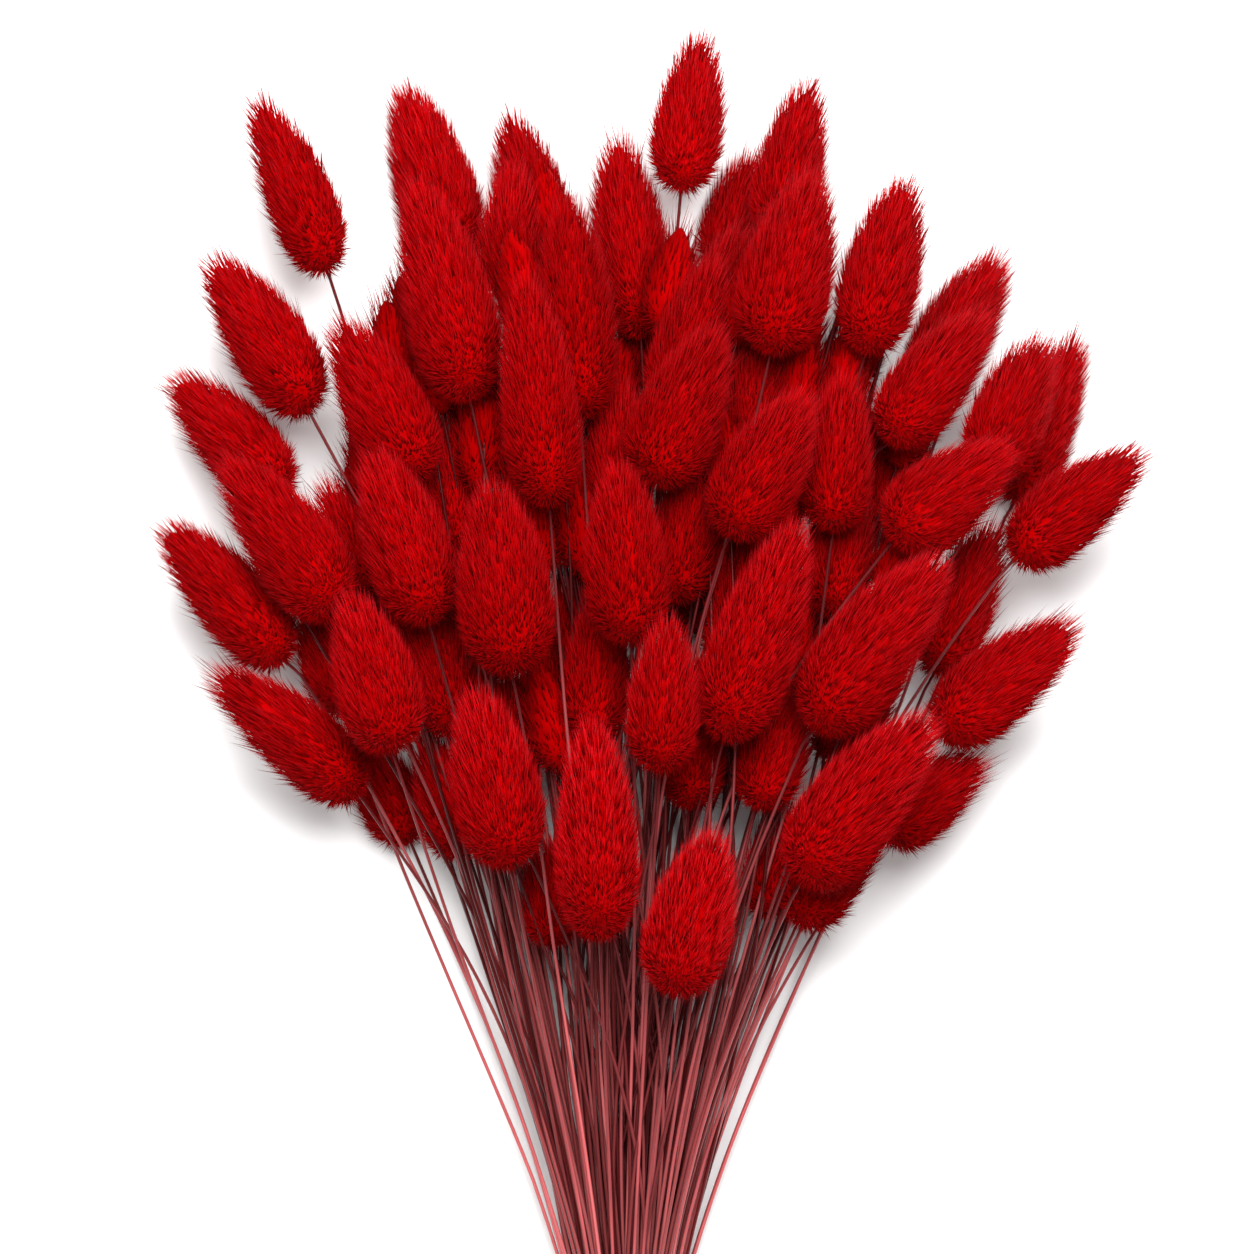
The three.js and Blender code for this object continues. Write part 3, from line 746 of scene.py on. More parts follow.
@dataclass
class Stalk:
    """One grown stalk, with one seed head, two, or none that shows."""

    node: str
    heads: list[SeedHead] = field(default_factory=list)
    stems: list[Stem] = field(default_factory=list)

    level_slack: ClassVar[float] = 2e-6  # between the heights of one ring's corners
    least_corners: ClassVar[int] = 30  # of a head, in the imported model
    fork_height: ClassVar[float] = 8 * MM  # of a second stem's lowest ring, above the foot
    fork_depth: ClassVar[float] = 16 * MM  # from that ring down to where the stems join

    @classmethod
    def from_node(cls, name: str, node: bpy.types.Object) -> "Stalk":
        """Read a stalk's stems and heads back from its solid.

        The solid's stems are chains of three-cornered rings, each of which stands
        upright across the bunch, so its three corners share one Y.

        Args:
            name: The node's name.
            node: The node's object.

        Returns:
            The stalk.
        """
        corners, triangles = welded(node)
        sides = [triangles[:, pair] for pair in ([0, 1], [1, 2], [2, 0])]
        edges = np.unique(np.sort(np.concatenate(sides)), axis=0)
        level = np.abs(corners[edges[:, 0], 1] - corners[edges[:, 1], 1]) < cls.level_slack
        groups = joined(len(corners), edges[level])
        rings = [g for g in groups if len(g) == 3]
        owner = np.full(len(corners), -1)
        for number, ring in enumerate(rings):
            owner[ring] = number
        loose = (owner[edges] == -1).all(axis=1)
        clumps = [g for g in joined(len(corners), edges[loose]) if len(g) > cls.least_corners]
        centres = np.array([corners[ring].mean(axis=0) for ring in rings])
        links = owner[edges]
        links = links[(links >= 0).all(axis=1) & (links[:, 0] != links[:, 1])]
        chains = [follow(clump, owner, edges, links, centres) for clump in clumps]
        stalk = cls(name)
        for clump, chain in zip(clumps, chains):
            stalk.heads.append(SeedHead.from_points(centres[chain[0]], corners[clump]))
        stalk.add_stems(chains, centres)
        return stalk

    def add_stems(self, chains: list[list[int]], centres: np.ndarray) -> None:
        """Turn chains of rings into stems.

        Args:
            chains: For each head, its rings' numbers from the neck down.
            centres: The rings' centres.
        """
        used = {number for chain in chains for number in chain}
        rest = [n for n in range(len(centres)) if n not in used]
        if rest:
            top = centres[max(rest, key=lambda n: centres[n][1])]
            main = min(chains, key=lambda c: np.linalg.norm(centres[c[-1]] - top))
            main.extend(sorted(rest, key=lambda n: -centres[n][1]))
        chains.sort(key=lambda chain: centres[chain[-1]][1])
        foot = centres[chains[0][::-1]]
        for chain in chains:
            points = centres[chain[::-1]]
            if points[0][1] > foot[0][1] + self.fork_height:
                low = points[0][1] - self.fork_depth
                joint = [np.interp(low, foot[:, 1], foot[:, k]) for k in range(3)]
                points = np.vstack([joint, points])
            self.stems.append(Stem(points))


def welded(node: bpy.types.Object) -> tuple[np.ndarray, np.ndarray]:
    """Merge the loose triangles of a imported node.

    Args:
        node: The node's object.

    Returns:
        The corners, and the triangles as corner numbers.
    """
    mesh = node.data
    mesh.calc_loop_triangles()
    places = np.empty(len(mesh.vertices) * 3)
    mesh.vertices.foreach_get("co", places)
    triangles = np.empty(len(mesh.loop_triangles) * 3, dtype=np.int64)
    mesh.loop_triangles.foreach_get("vertices", triangles)
    corners, numbers = np.unique(
        np.round(places.reshape(-1, 3), 6), axis=0, return_inverse=True
    )
    return corners, numbers.reshape(-1)[triangles].reshape(-1, 3)


def joined(count: int, edges: np.ndarray) -> list[np.ndarray]:
    """Group corners that edges join.

    Args:
        count: The number of corners.
        edges: Pairs of corner numbers.

    Returns:
        The groups of two corners or more.
    """
    root = list(range(count))

    def top(n: int) -> int:
        """Return the group that a corner is in.

        Args:
            n: The corner's number.

        Returns:
            The number of the group's first corner.
        """
        while root[n] != n:
            root[n] = root[root[n]]
            n = root[n]
        return n

    for a, b in edges:
        root[top(int(a))] = top(int(b))
    groups: dict[int, list[int]] = {}
    for n in range(count):
        groups.setdefault(top(n), []).append(n)
    return [np.array(g) for g in groups.values() if len(g) > 1]


def follow(
    clump: np.ndarray,
    owner: np.ndarray,
    edges: np.ndarray,
    links: np.ndarray,
    centres: np.ndarray,
) -> list[int]:
    """Follow a stem down from its head.

    Args:
        clump: The head's corner numbers.
        owner: Each corner's ring, or -1.
        edges: Pairs of corner numbers.
        links: Pairs of ring numbers that edges join.
        centres: The rings' centres.

    Returns:
        The rings' numbers from the neck down.
    """
    inside = np.isin(edges, clump)
    touching = owner[edges[inside.any(axis=1)]].ravel()
    touching = touching[touching >= 0]
    chain = [int(np.bincount(touching).argmax())]
    while True:
        here = chain[-1]
        near = links[(links == here).any(axis=1)].ravel()
        below = [int(n) for n in near if centres[n][1] < centres[here][1] - TINY]
        if not below:
            return chain
        chain.append(max(set(below), key=below.count))


class Modifier:
    """A geometry tree that turns an object into a plain finished mesh."""

    def __init__(self, group: bpy.types.NodeTree) -> None:
        """Keep the tree.

        Args:
            group: The geometry tree.
        """
        self.group = group

    def apply(
        self, source: bpy.types.Object, name: str, **values: Value
    ) -> bpy.types.Object:
        """Run the tree on an object and keep the result as a plain mesh.

        Args:
            source: The object that the tree starts from, which is then removed.
            name: The result's name.
            values: The tree's named inputs, with _ for a space.

        Returns:
            The finished piece.
        """
        modifier = source.modifiers.new(self.group.name, "NODES")
        modifier.node_group = self.group
        for item in self.group.interface.items_tree:
            key = item.name.lower().replace(" ", "_")
            if item.item_type == "SOCKET" and item.in_out == "INPUT" and key in values:
                modifier[item.identifier] = values[key]
        graph = bpy.context.evaluated_depsgraph_get()
        mesh = bpy.data.meshes.new_from_object(source.evaluated_get(graph))
        source.modifiers.remove(modifier)
        bpy.data.objects.remove(source)
        mesh.name = name
        return new_object(name, mesh)


def new_group(name: str, inputs: dict[str, tuple[str, Value | None]]) -> Tree:
    """Start a geometry tree.

    Args:
        name: The tree's name.
        inputs: For each input's name, its socket type and its value.

    Returns:
        A builder for the tree's nodes.
    """
    group = bpy.data.node_groups.new(name, "GeometryNodeTree")
    group.interface.new_socket("Geometry", in_out="INPUT", socket_type="NodeSocketGeometry")
    for label, (kind, value) in inputs.items():
        socket = group.interface.new_socket(label, in_out="INPUT", socket_type=kind)
        if value is not None:
            socket.default_value = value
    group.interface.new_socket("Geometry", in_out="OUTPUT", socket_type="NodeSocketGeometry")
    return Tree(group)


def new_object(name: str, data: bpy.types.ID) -> bpy.types.Object:
    """Put a mesh, a light or a camera in the scene.

    Args:
        name: The object's name.
        data: The mesh, light or camera.

    Returns:
        The object, at the origin.
    """
    made = bpy.data.objects.new(name, data)
    bpy.context.scene.collection.objects.link(made)
    return made


@dataclass
class GrassWork:
    """Dresses stalks: round stems, and hair on the seed heads' cores, by one tree."""

    fur: FurFinish = field(default_factory=FurFinish)
    dye: StemFinish = field(default_factory=StemFinish)
    hairs_per_mm2: float = 1.68
    inner_hairs: float = 0.33  # of the hairs elsewhere, on heads deep in the bunch
    underside_hairs: float = 0.5  # of the hairs elsewhere, where a head faces the table
    base_crowding: float = 2.3  # times as many hairs at the base as along the side
    standoff: float = 2.9 * MM  # how far hairs stand out from the core
    longest_hair: float = 8.6 * MM
    bristles: float = 0.1  # of all hairs, which are longer, thicker and darker
    bristle_length: float = 1.4  # of a plain hair's
    bristle_thickness: float = 1.6
    bristle_shade: float = -0.9  # which makes any hair the darkest
    hair_radius: float = 0.14 * MM
    sunk_root: float = 0.06  # of a hair's length
    base_lean: float = math.radians(24)
    side_lean: float = math.radians(60)
    tip_lean: float = math.radians(14)  # which a hair at the tip leans more
    leans_by: float = 0.34  # of the head's length, where hairs reach their full lean
    tuft_size: float = 2.6 * MM
    tuft_strength: float = 0.11
    spread: float = 0.16
    # painted sheen and shade: hairs turn lighter and pinker towards each head's tip and darker
    # towards its base
    painted_tip_light: float = 0.65
    table_softness: float = 0.3 * MM
    stem_spacing: float = 7 * MM
    stem_sides: int = 6
    tip_reach: float = 0.25  # of half the head's length, past its tip, where hairs point
    axis_pull: float = 0.6  # how far they follow the head's axis instead
    hair_column: float = 0.03  # of the fur's width
    hair_width: tuple[float, float] = (0.9, 0.55)  # added and scaled by, to span 0 to 1
    root_tilt: float = 0.02  # of a hair's length, so that its root has an extent on the map
    stem_column: float = 0.02  # of the bake map's width
    stem_rows: tuple[float, float] = (0.02, 0.96)  # start and extent up the bake map
    cap_height: float = 0.01  # what a stem's end spans up and down there
    core_columns: tuple[float, float] = (0.01, 0.98)  # start and extent across the fur's part
    core_rows: tuple[float, float] = (0.02, 0.7)  # likewise up the part below the hairs
    stem_shades: tuple[float, float] = (0.42, 0.95)  # from dark to light
    # painted shade: the stems deep in the bunch are kept darker than the imported ones
    inner_shades: tuple[float, float] = (0.0, 0.4)
    hair_start: float = 0.3  # of the bake map's height; the core lies below it
    hair_end: float = 0.97
    thicknesses: tuple[float, float] = (0.7, 1.2)  # of the hair radius
    lengths: tuple[float, float] = (0.7, 1.1)  # of the hair's reach
    shade_spread: float = 0.15  # from hair to hair
    underside: tuple[float, float] = (-0.7, 0.1)  # heights of the normal, from down to up

    def modifier(self) -> Modifier:
        """Build the geometry tree.

        Returns:
            A modifier that dresses a stalk's sketch.
        """
        number, whole, material = "NodeSocketFloat", "NodeSocketInt", "NodeSocketMaterial"
        tree = new_group(
            "grass_stalk",
            {
                "Hairs per area": (number, self.hairs_per_area(True)),
                "Base crowding": (number, self.base_crowding),
                "Standoff": (number, self.standoff),
                "Longest hair": (number, self.longest_hair),
                "Hair radius": (number, self.hair_radius),
                "Base lean": (number, self.base_lean),
                "Side lean": (number, self.side_lean),
                "Tuft size": (number, self.tuft_size),
                "Tuft strength": (number, self.tuft_strength),
                "Spread": (number, self.spread),
                "Stem spacing": (number, self.stem_spacing),
                "Stem sides": (whole, self.stem_sides),
                # the stalk's fur shade: painted light and shade, with some random tone
                "Shade": (number, 0.5),
                "Seed": (whole, 1),
                "Fur": (material, None),
                "Dye": (material, None),
            },
        )
        given = tree.add("NodeGroupInput").outputs
        on_stem = tree.math("GREATER_THAN", tree.attribute("on_stem"), 0.5)
        inputs = {0: given["Geometry"], 1: on_stem}
        cores = tree.add("GeometryNodeDeleteGeometry", inputs, domain="POINT").outputs[0]
        hairs = self.hairs(tree, given, cores)
        stems = self.round_stems(tree, given, on_stem)
        furred = tree.finished((cores, hairs, stems), self.table_softness, given["Fur"])
        inputs = {"Geometry": furred, "Selection": on_stem, "Material": given["Dye"]}
        dyed = tree.add("GeometryNodeSetMaterial", inputs).outputs[0]
        tree.add("NodeGroupOutput", {0: dyed})
        return Modifier(tree.group)

    def hairs_per_area(self, packed: bool) -> float:
        """Return the hairs per square metre, fewer on a stalk that isn't packed."""
        return self.hairs_per_mm2 / MM**2 * (1.0 if packed else self.inner_hairs)

    def hairs(self, tree: Tree, given: Given, cores: Socket) -> Socket:
        """Grow hairs on the cores.

        Args:
            tree: The tree.
            given: The tree's input sockets.
            cores: The cores' geometry.

        Returns:
            The hairs' geometry, with their place on the bake map.
        """
        points = tree.add(
            "GeometryNodeDistributePointsOnFaces",
            {"Mesh": cores, "Density": self.density(tree, given), "Seed": given["Seed"]},
        )
        drawn = tree.random(0.0, 1.0, given["Seed"], Draw.BRISTLE)
        stray = tree.math("GREATER_THAN", drawn, 1 - self.bristles)
        thicker = tree.math("MULTIPLY_ADD", stray, self.bristle_thickness - 1, 1.0)
        thick = tree.random(*self.thicknesses, given["Seed"], Draw.HAIR_THICKNESS)
        thick = tree.math("MULTIPLY", thick, given["Hair radius"])
        thick = tree.math("MULTIPLY", thick, thicker)
        reach = tree.math("DIVIDE", given["Standoff"], tree.math("COSINE", self.lean(tree, given)))
        reach = tree.math("MINIMUM", reach, given["Longest hair"])
        plain = tree.random(*self.lengths, given["Seed"], Draw.HAIR_LENGTH)
        longer = tree.math("MULTIPLY_ADD", stray, self.bristle_length - 1, 1.0)
        length = tree.math("MULTIPLY", tree.math("MULTIPLY", plain, longer), reach)
        placed = tree.add(
            "GeometryNodeInstanceOnPoints",
            {
                "Points": points.outputs["Points"],
                "Instance": self.one_hair(tree),
                "Rotation": self.hair_turn(tree, given, points.outputs["Normal"]),
                "Scale": tree.add("ShaderNodeCombineXYZ", {0: thick, 1: thick, 2: length}).outputs[0],
            },
        )
        # each hair's shade: random tone, the stalk's painted shade, painted sheen towards the head's
        # tip, and the darker bristles
        spread = self.shade_spread
        own = tree.random(-spread, spread, given["Seed"], Draw.HAIR_SHADE)
        shade = tree.math("ADD", own, given["Shade"])
        shade = tree.math("MULTIPLY_ADD", tree.attribute("share"), self.painted_tip_light, shade)
        shade = tree.math("MULTIPLY_ADD", stray, self.bristle_shade, shade)
        shaded = tree.store(placed.outputs[0], "shade", shade, domain="INSTANCE")
        real = tree.add("GeometryNodeRealizeInstances", {0: shaded}).outputs[0]
        across = tree.math(
            "ADD",
            tree.math("MULTIPLY", tree.attribute("shade"), 1 - self.hair_column),
            tree.math("MULTIPLY", tree.attribute("side"), self.hair_column),
        )
        across = tree.math("MULTIPLY", tree.clamp(across, *MAP_ENDS), FUR_SHARE)
        up = tree.math("MULTIPLY", tree.attribute("along"), self.hair_end - self.hair_start)
        up = tree.math("ADD", up, self.hair_start)
        return tree.store_map(real, across, tree.clamp(up, *MAP_ENDS))

    def density(self, tree: Tree, given: Given) -> Socket:
        """Return how close together the hairs stand at each place on a core.

        Args:
            tree: The tree.
            given: The tree's input sockets.

        Returns:
            The density's socket: denser at the head's base, sparser on its underside.
        """
        share, kind = tree.attribute("share"), "ShaderNodeMapRange"
        ends = {0: share, 1: 0.0, 2: self.leans_by, 3: given["Base crowding"], 4: 1.0}
        crowding = tree.add(kind, ends).outputs[0]
        normal = tree.add("GeometryNodeInputNormal").outputs[0]
        height = tree.add("ShaderNodeSeparateXYZ", {0: normal}).outputs[2]
        low, high = self.underside
        ends = {0: height, 1: low, 2: high, 3: self.underside_hairs, 4: 1.0}
        underside = tree.add(kind, ends).outputs[0]
        density = tree.math("MULTIPLY", crowding, underside)
        return tree.math("MULTIPLY", density, given["Hairs per area"])

    def one_hair(self, tree: Tree) -> Socket:
        """Return one hair: a three-sided spike, one unit long, that knows its own map.

        Args:
            tree: The tree.

        Returns:
            The hair's geometry socket.
        """
        position = tree.add("GeometryNodeInputPosition").outputs[0]
        place = tree.add("ShaderNodeSeparateXYZ", {0: position}).outputs
        shift, scale = self.hair_width
        side = tree.math("MULTIPLY", tree.math("ADD", place[1], shift), scale)
        tilted = tree.math("MULTIPLY", place[0], self.root_tilt)
        known = tree.store(tree.spike(), "side", side)
        known = tree.store(known, "along", tree.math("ADD", place[2], tilted))
        inputs = {"Geometry": known, "Translation": (0.0, 0.0, -self.sunk_root)}
        return tree.add("GeometryNodeTransform", inputs).outputs[0]

    def lean(self, tree: Tree, given: Given) -> Socket:
        """Return how far each hair leans from upright towards the head's tip.

        Args:
            tree: The tree.
            given: The tree's input sockets.

        Returns:
            The angle's socket.
        """
        ends = {3: given["Base lean"], 4: given["Side lean"]}
        share = {0: tree.attribute("share"), 1: 0.0, 2: self.leans_by}
        kind = "SMOOTHSTEP"
        side = tree.add("ShaderNodeMapRange", share | ends, interpolation_type=kind).outputs[0]
        return tree.math("MULTIPLY_ADD", tree.attribute("share"), self.tip_lean, side)

    def hair_turn(self, tree: Tree, given: Given, normal: Socket) -> Socket:
        """Return each hair's rotation: out at the head's base, then leaning to its tip.

        Args:
            tree: The tree.
            given: The tree's input sockets.
            normal: The core's normal at each hair.

        Returns:
            The rotation's socket.
        """
        lean = self.lean(tree, given)
        tipward = tree.attribute("tipward", "FLOAT_VECTOR")
        out = tree.vector("SCALE", normal, tree.math("COSINE", lean))
        forward = tree.vector("SCALE", tipward, tree.math("SINE", lean))
        position = tree.add("GeometryNodeInputPosition").outputs[0]
        scale = tree.math("DIVIDE", 1.0, given["Tuft size"])
        inputs = {"Vector": position, "Scale": scale, "Detail": 1.0}
        noise = tree.add("ShaderNodeTexNoise", inputs)
        tuft = tree.vector("SUBTRACT", noise.outputs["Color"], (0.5, 0.5, 0.5))
        tuft = tree.vector("SCALE", tuft, tree.math("MULTIPLY", given["Tuft strength"], 2.0))
        stray = tree.random(*ANY_WAY, given["Seed"], Draw.HAIR_TURN, "FLOAT_VECTOR")
        stray = tree.vector("SCALE", stray, given["Spread"])
        ruffled = tree.vector("ADD", tuft, stray)
        whole = tree.vector("ADD", tree.vector("ADD", out, forward), ruffled)
        kind = "FunctionNodeAlignRotationToVector"
        return tree.add(kind, {"Vector": whole}, axis="Z").outputs[0]

    def round_stems(self, tree: Tree, given: Given, on_stem: Socket) -> Socket:
        """Sweep a tapering round stem along the sketch's lines.

        Args:
            tree: The tree.
            given: The tree's input sockets.
            on_stem: Which points are on a stem.

        Returns:
            The stems' geometry, with their place on the bake map.
        """
        inputs = {"Mesh": given["Geometry"], "Selection": on_stem}
        line = tree.add("GeometryNodeMeshToCurve", inputs).outputs[0]
        curve = tree.smoothed(line, given["Stem spacing"])
        factor = tree.add("GeometryNodeSplineParameter").outputs["Factor"]
        swept = tree.sweep(curve, tree.attribute("thickness"), factor, given["Stem sides"])
        width, column = tree.attribute("column_width"), tree.attribute("column")
        across = tree.math("MULTIPLY_ADD", tree.folded_turn(), width, column)
        start, extent = self.stem_rows
        up = tree.math("MULTIPLY_ADD", tree.attribute("along"), extent, start)
        up = tree.math("MULTIPLY_ADD", tree.turn_height(), self.cap_height, up)
        return tree.store_map(swept, across, up)

    def sketch(self, stalk: Stalk, packed: bool, random: np.random.Generator) -> bpy.types.Object:
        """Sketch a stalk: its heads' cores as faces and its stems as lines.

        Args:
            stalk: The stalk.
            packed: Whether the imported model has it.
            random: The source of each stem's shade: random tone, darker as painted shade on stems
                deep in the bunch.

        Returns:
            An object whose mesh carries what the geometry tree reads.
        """
        rows = Rows()
        for head in stalk.heads:
            core = head.core()
            rows.add(
                core.points,
                faces=core.faces,
                share=core.share,
                turn=core.turn,
                tipward=self.tipward(head, core.points),
            )
        for stem in stalk.stems:
            count = len(stem.points)
            # stems deep in the bunch take the darker range as painted shade; the imported ones vary
            # at random in tone
            shade = random.uniform(*(self.stem_shades if packed else self.inner_shades))
            column = FUR_SHARE + (1 - FUR_SHARE) * shade
            share = stem.shares()
            rows.add(
                stem.points,
                edges=[(n, n + 1) for n in range(count - 1)],
                on_stem=np.ones(count),
                thickness=stem.foot_radius + (stem.neck_radius - stem.foot_radius) * share,
                column=np.full(count, column),
                column_width=np.full(count, self.stem_column),
            )
        mesh = rows.mesh(stalk.node + "_sketch")
        self.map_cores(mesh, rows)
        return new_object(mesh.name, mesh)

    def tipward(self, head: SeedHead, points: np.ndarray) -> np.ndarray:
        """Return the direction along the core towards its tip, at each corner.

        Args:
            head: The head.
            points: The core's corners.

        Returns:
            One unit vector a corner.
        """
        tip = head.axis_point(1.0)
        end = tip + self.tip_reach * (tip - head.axis_point(0.5))
        axis = (head.tip - head.neck) / head.length
        return unit(unit(end - points) + self.axis_pull * axis)

    def map_cores(self, mesh: bpy.types.Mesh, rows: "Rows") -> None:
        """Map the cores onto the dark foot of the bake map.

        Args:
            mesh: The sketch's mesh.
            rows: The sketch's values.
        """
        layer = mesh.uv_layers.new(name=BAKE_MAP)
        corners = np.empty(len(mesh.loops), dtype=np.int64)
        mesh.loops.foreach_get("vertex_index", corners)
        if not len(corners):
            return
        turn, share = rows.values("turn")[corners], rows.values("share")[corners]
        (left, width), (start, extent) = self.core_columns, self.core_rows
        across = (left + width * np.abs(2 * turn - 1)) * FUR_SHARE
        places = np.column_stack([across, (start + extent * share) * self.hair_start])
        layer.data.foreach_set("uv", places.ravel())


class Rows:
    """Points, faces and edges gathered for one mesh, with a value for each point."""

    def __init__(self) -> None:
        """Start with nothing."""
        self.points: list[np.ndarray] = []
        self.faces: list[tuple[int, ...]] = []
        self.edges: list[tuple[int, int]] = []
        self.named: dict[str, list[tuple[int, np.ndarray]]] = {}
        self.count = 0

    def add(
        self,
        points: np.ndarray,
        faces: Iterable[tuple[int, ...]] = (),
        edges: Iterable[tuple[int, int]] = (),
        **named: np.ndarray,
    ) -> None:
        """Add a part.

        Args:
            points: The part's points.
            faces: Its faces, as numbers of its own points.
            edges: Its edges, likewise.
            named: A value or a vector for each of its points.
        """
        self.points.append(points)
        self.faces.extend(tuple(self.count + n for n in face) for face in faces)
        self.edges.extend((self.count + a, self.count + b) for a, b in edges)
        for name, values in named.items():
            self.named.setdefault(name, []).append((self.count, values))
        self.count += len(points)

    def values(self, name: str) -> np.ndarray:
        """Return a named value for every point.

        Args:
            name: The value's name.

        Returns:
            The values, 0 where a part has none.
        """
        parts = self.named[name]
        whole = np.zeros((self.count, *parts[0][1].shape[1:]))
        for start, values in parts:
            whole[start : start + len(values)] = values
        return whole

    def mesh(self, name: str) -> bpy.types.Mesh:
        """Build the mesh, with each named value as an attribute.

        Args:
            name: The mesh's name.

        Returns:
            The mesh.
        """
        mesh = bpy.data.meshes.new(name)
        mesh.from_pydata(np.concatenate(self.points).tolist(), self.edges, self.faces)
        for label in self.named:
            values = self.values(label)
            vector = values.ndim == 2
            kind, key = ("FLOAT_VECTOR", "vector") if vector else ("FLOAT", "value")
            mesh.attributes.new(label, kind, "POINT").data.foreach_set(key, values.ravel())
        return mesh


@dataclass
class TwineTie:
    """The jute twine round the stems: wound turns, a knot and two short ends."""

    finish: TwineFinish = field(default_factory=TwineFinish)
    strands: int = 3
    turns: int = 4
    twine_radius: float = 0.85 * MM
    winding_radius: float = 9.5 * MM  # of the twine's middle
    lay: float = 7.5 * MM  # length of twine in which a strand goes once round
    knot_radius: float = 1.35 * MM
    knot_tube: float = 0.8 * MM
    knot_width: float = 1.15  # of its length
    knot_lift: float = 0.3 * MM
    turn_steps: int = 24
    knot_steps: int = 60
    spacing: float = 0.8 * MM
    strand_sides: int = 6
    strand_offset: float = 0.5  # of the twine's radius, from its middle to a strand's
    strand_radius: float = 0.56  # of the twine's radius
    strand_column: float = 0.9  # of each strand's share of the bake map's width
    strand_margin: float = 0.01  # on the bake map, to the left of each
    strand_rows: tuple[float, float] = (0.015, 0.97)  # start and extent up the bake map
    cap_height: float = 0.002  # what a strand's end spans up and down there
    fibres_per_mm2: float = 0.9
    fibre_length: float = 1.3 * MM
    fibre_lengths: tuple[float, float] = (0.4, 1.2)  # of it
    fibre_radius: float = 0.035 * MM
    fibre_rise: float = 0.55  # how far the fibres stand up rather than lie any way
    fibre_places: tuple[float, float] = (0.02, 0.96)  # on the bake map, across and up
    fibre_extent: tuple[tuple[float, float], ...] = (  # steps and their size, across and up
        (4.0, 0.003),
        (3.0, 0.004),
    )
    seed: int = 3
    table_softness: float = 0.3 * MM
    table_gap: float = 0.05 * MM
    knot_seat: float = 1.6  # twine radii from the windings' middle up to the knot
    left_end: tuple[Point, ...] = (  # from its tip to the knot, where its height is 0
        (-13 * MM, -4 * MM, -3.4 * MM),
        (-8.06 * MM, -0.5 * MM, 0.9 * MM),
        (-1.5 * MM, -0.6 * MM, 0.0),
    )
    right_end: tuple[Point, ...] = (  # from the knot to its tip
        (1.5 * MM, 0.6 * MM, 0.0),
        (8.06 * MM, 1.5 * MM, 0.9 * MM),
        (13 * MM, 4 * MM, -3.4 * MM),
    )

    def build(self) -> None:
        """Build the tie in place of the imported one."""
        low, high = (np.array(corner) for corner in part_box(TIE_NODE))
        middle = (low + high) / 2
        middle[2] = self.winding_radius + self.table_gap
        rows = Rows()
        for path in self.paths():
            count = len(path)
            rows.add(path + middle, edges=[(n, n + 1) for n in range(count - 1)])
        mesh = rows.mesh("twine_sketch")
        piece = self.modifier().apply(
            new_object(mesh.name, mesh), "tied_twine", jute=self.finish.material()
        )
        settle(piece, Slot.TWINE, TIE_NODE)

    def paths(self) -> list[np.ndarray]:
        """Return the twine's path round the stems and the knot's path.

        Returns:
            The points of each path, round the tie's middle.
        """
        pitch = 2 * self.twine_radius
        top = self.winding_radius + self.knot_seat * self.twine_radius
        turn = np.linspace(0, 2 * math.pi * self.turns, self.turn_steps * self.turns + 1)
        rise = (turn / turn[-1] - 0.5) * pitch * self.turns
        radius = self.winding_radius
        wound = np.column_stack([radius * np.sin(turn), rise, radius * np.cos(turn)])
        first, last = (np.array(end) + (0.0, 0.0, top) for end in (self.left_end, self.right_end))
        whole = np.vstack([first, wound, last])
        angle = np.linspace(0, 2 * math.pi, self.knot_steps)
        out = self.knot_radius + self.knot_tube * np.cos(3 * angle)
        across = self.knot_width * out * np.cos(2 * angle)
        height = top + self.knot_lift + self.knot_tube * np.sin(3 * angle)
        return [whole, np.column_stack([across, out * np.sin(2 * angle), height])]

    def modifier(self) -> Modifier:
        """Build the geometry tree.

        Returns:
            A modifier that lays twisted strands and loose fibres along every line.
        """
        number, whole = "NodeSocketFloat", "NodeSocketInt"
        tree = new_group(
            "twisted_twine",
            {
                "Twine radius": (number, self.twine_radius),
                "Strands": (whole, self.strands),
                "Lay": (number, self.lay),
                "Spacing": (number, self.spacing),
                "Strand sides": (whole, self.strand_sides),
                "Fibres per area": (number, self.fibres_per_mm2 / MM**2),
                "Fibre length": (number, self.fibre_length),
                "Fibre radius": (number, self.fibre_radius),
                "Seed": (whole, self.seed),
                "Jute": ("NodeSocketMaterial", None),
            },
        )
        given = tree.add("NodeGroupInput").outputs
        strands = self.twisted(tree, given)
        fibres = self.fibres(tree, given, strands)
        tied = tree.finished((strands, fibres), self.table_softness, given["Jute"])
        tree.add("NodeGroupOutput", {0: tied})
        return Modifier(tree.group)

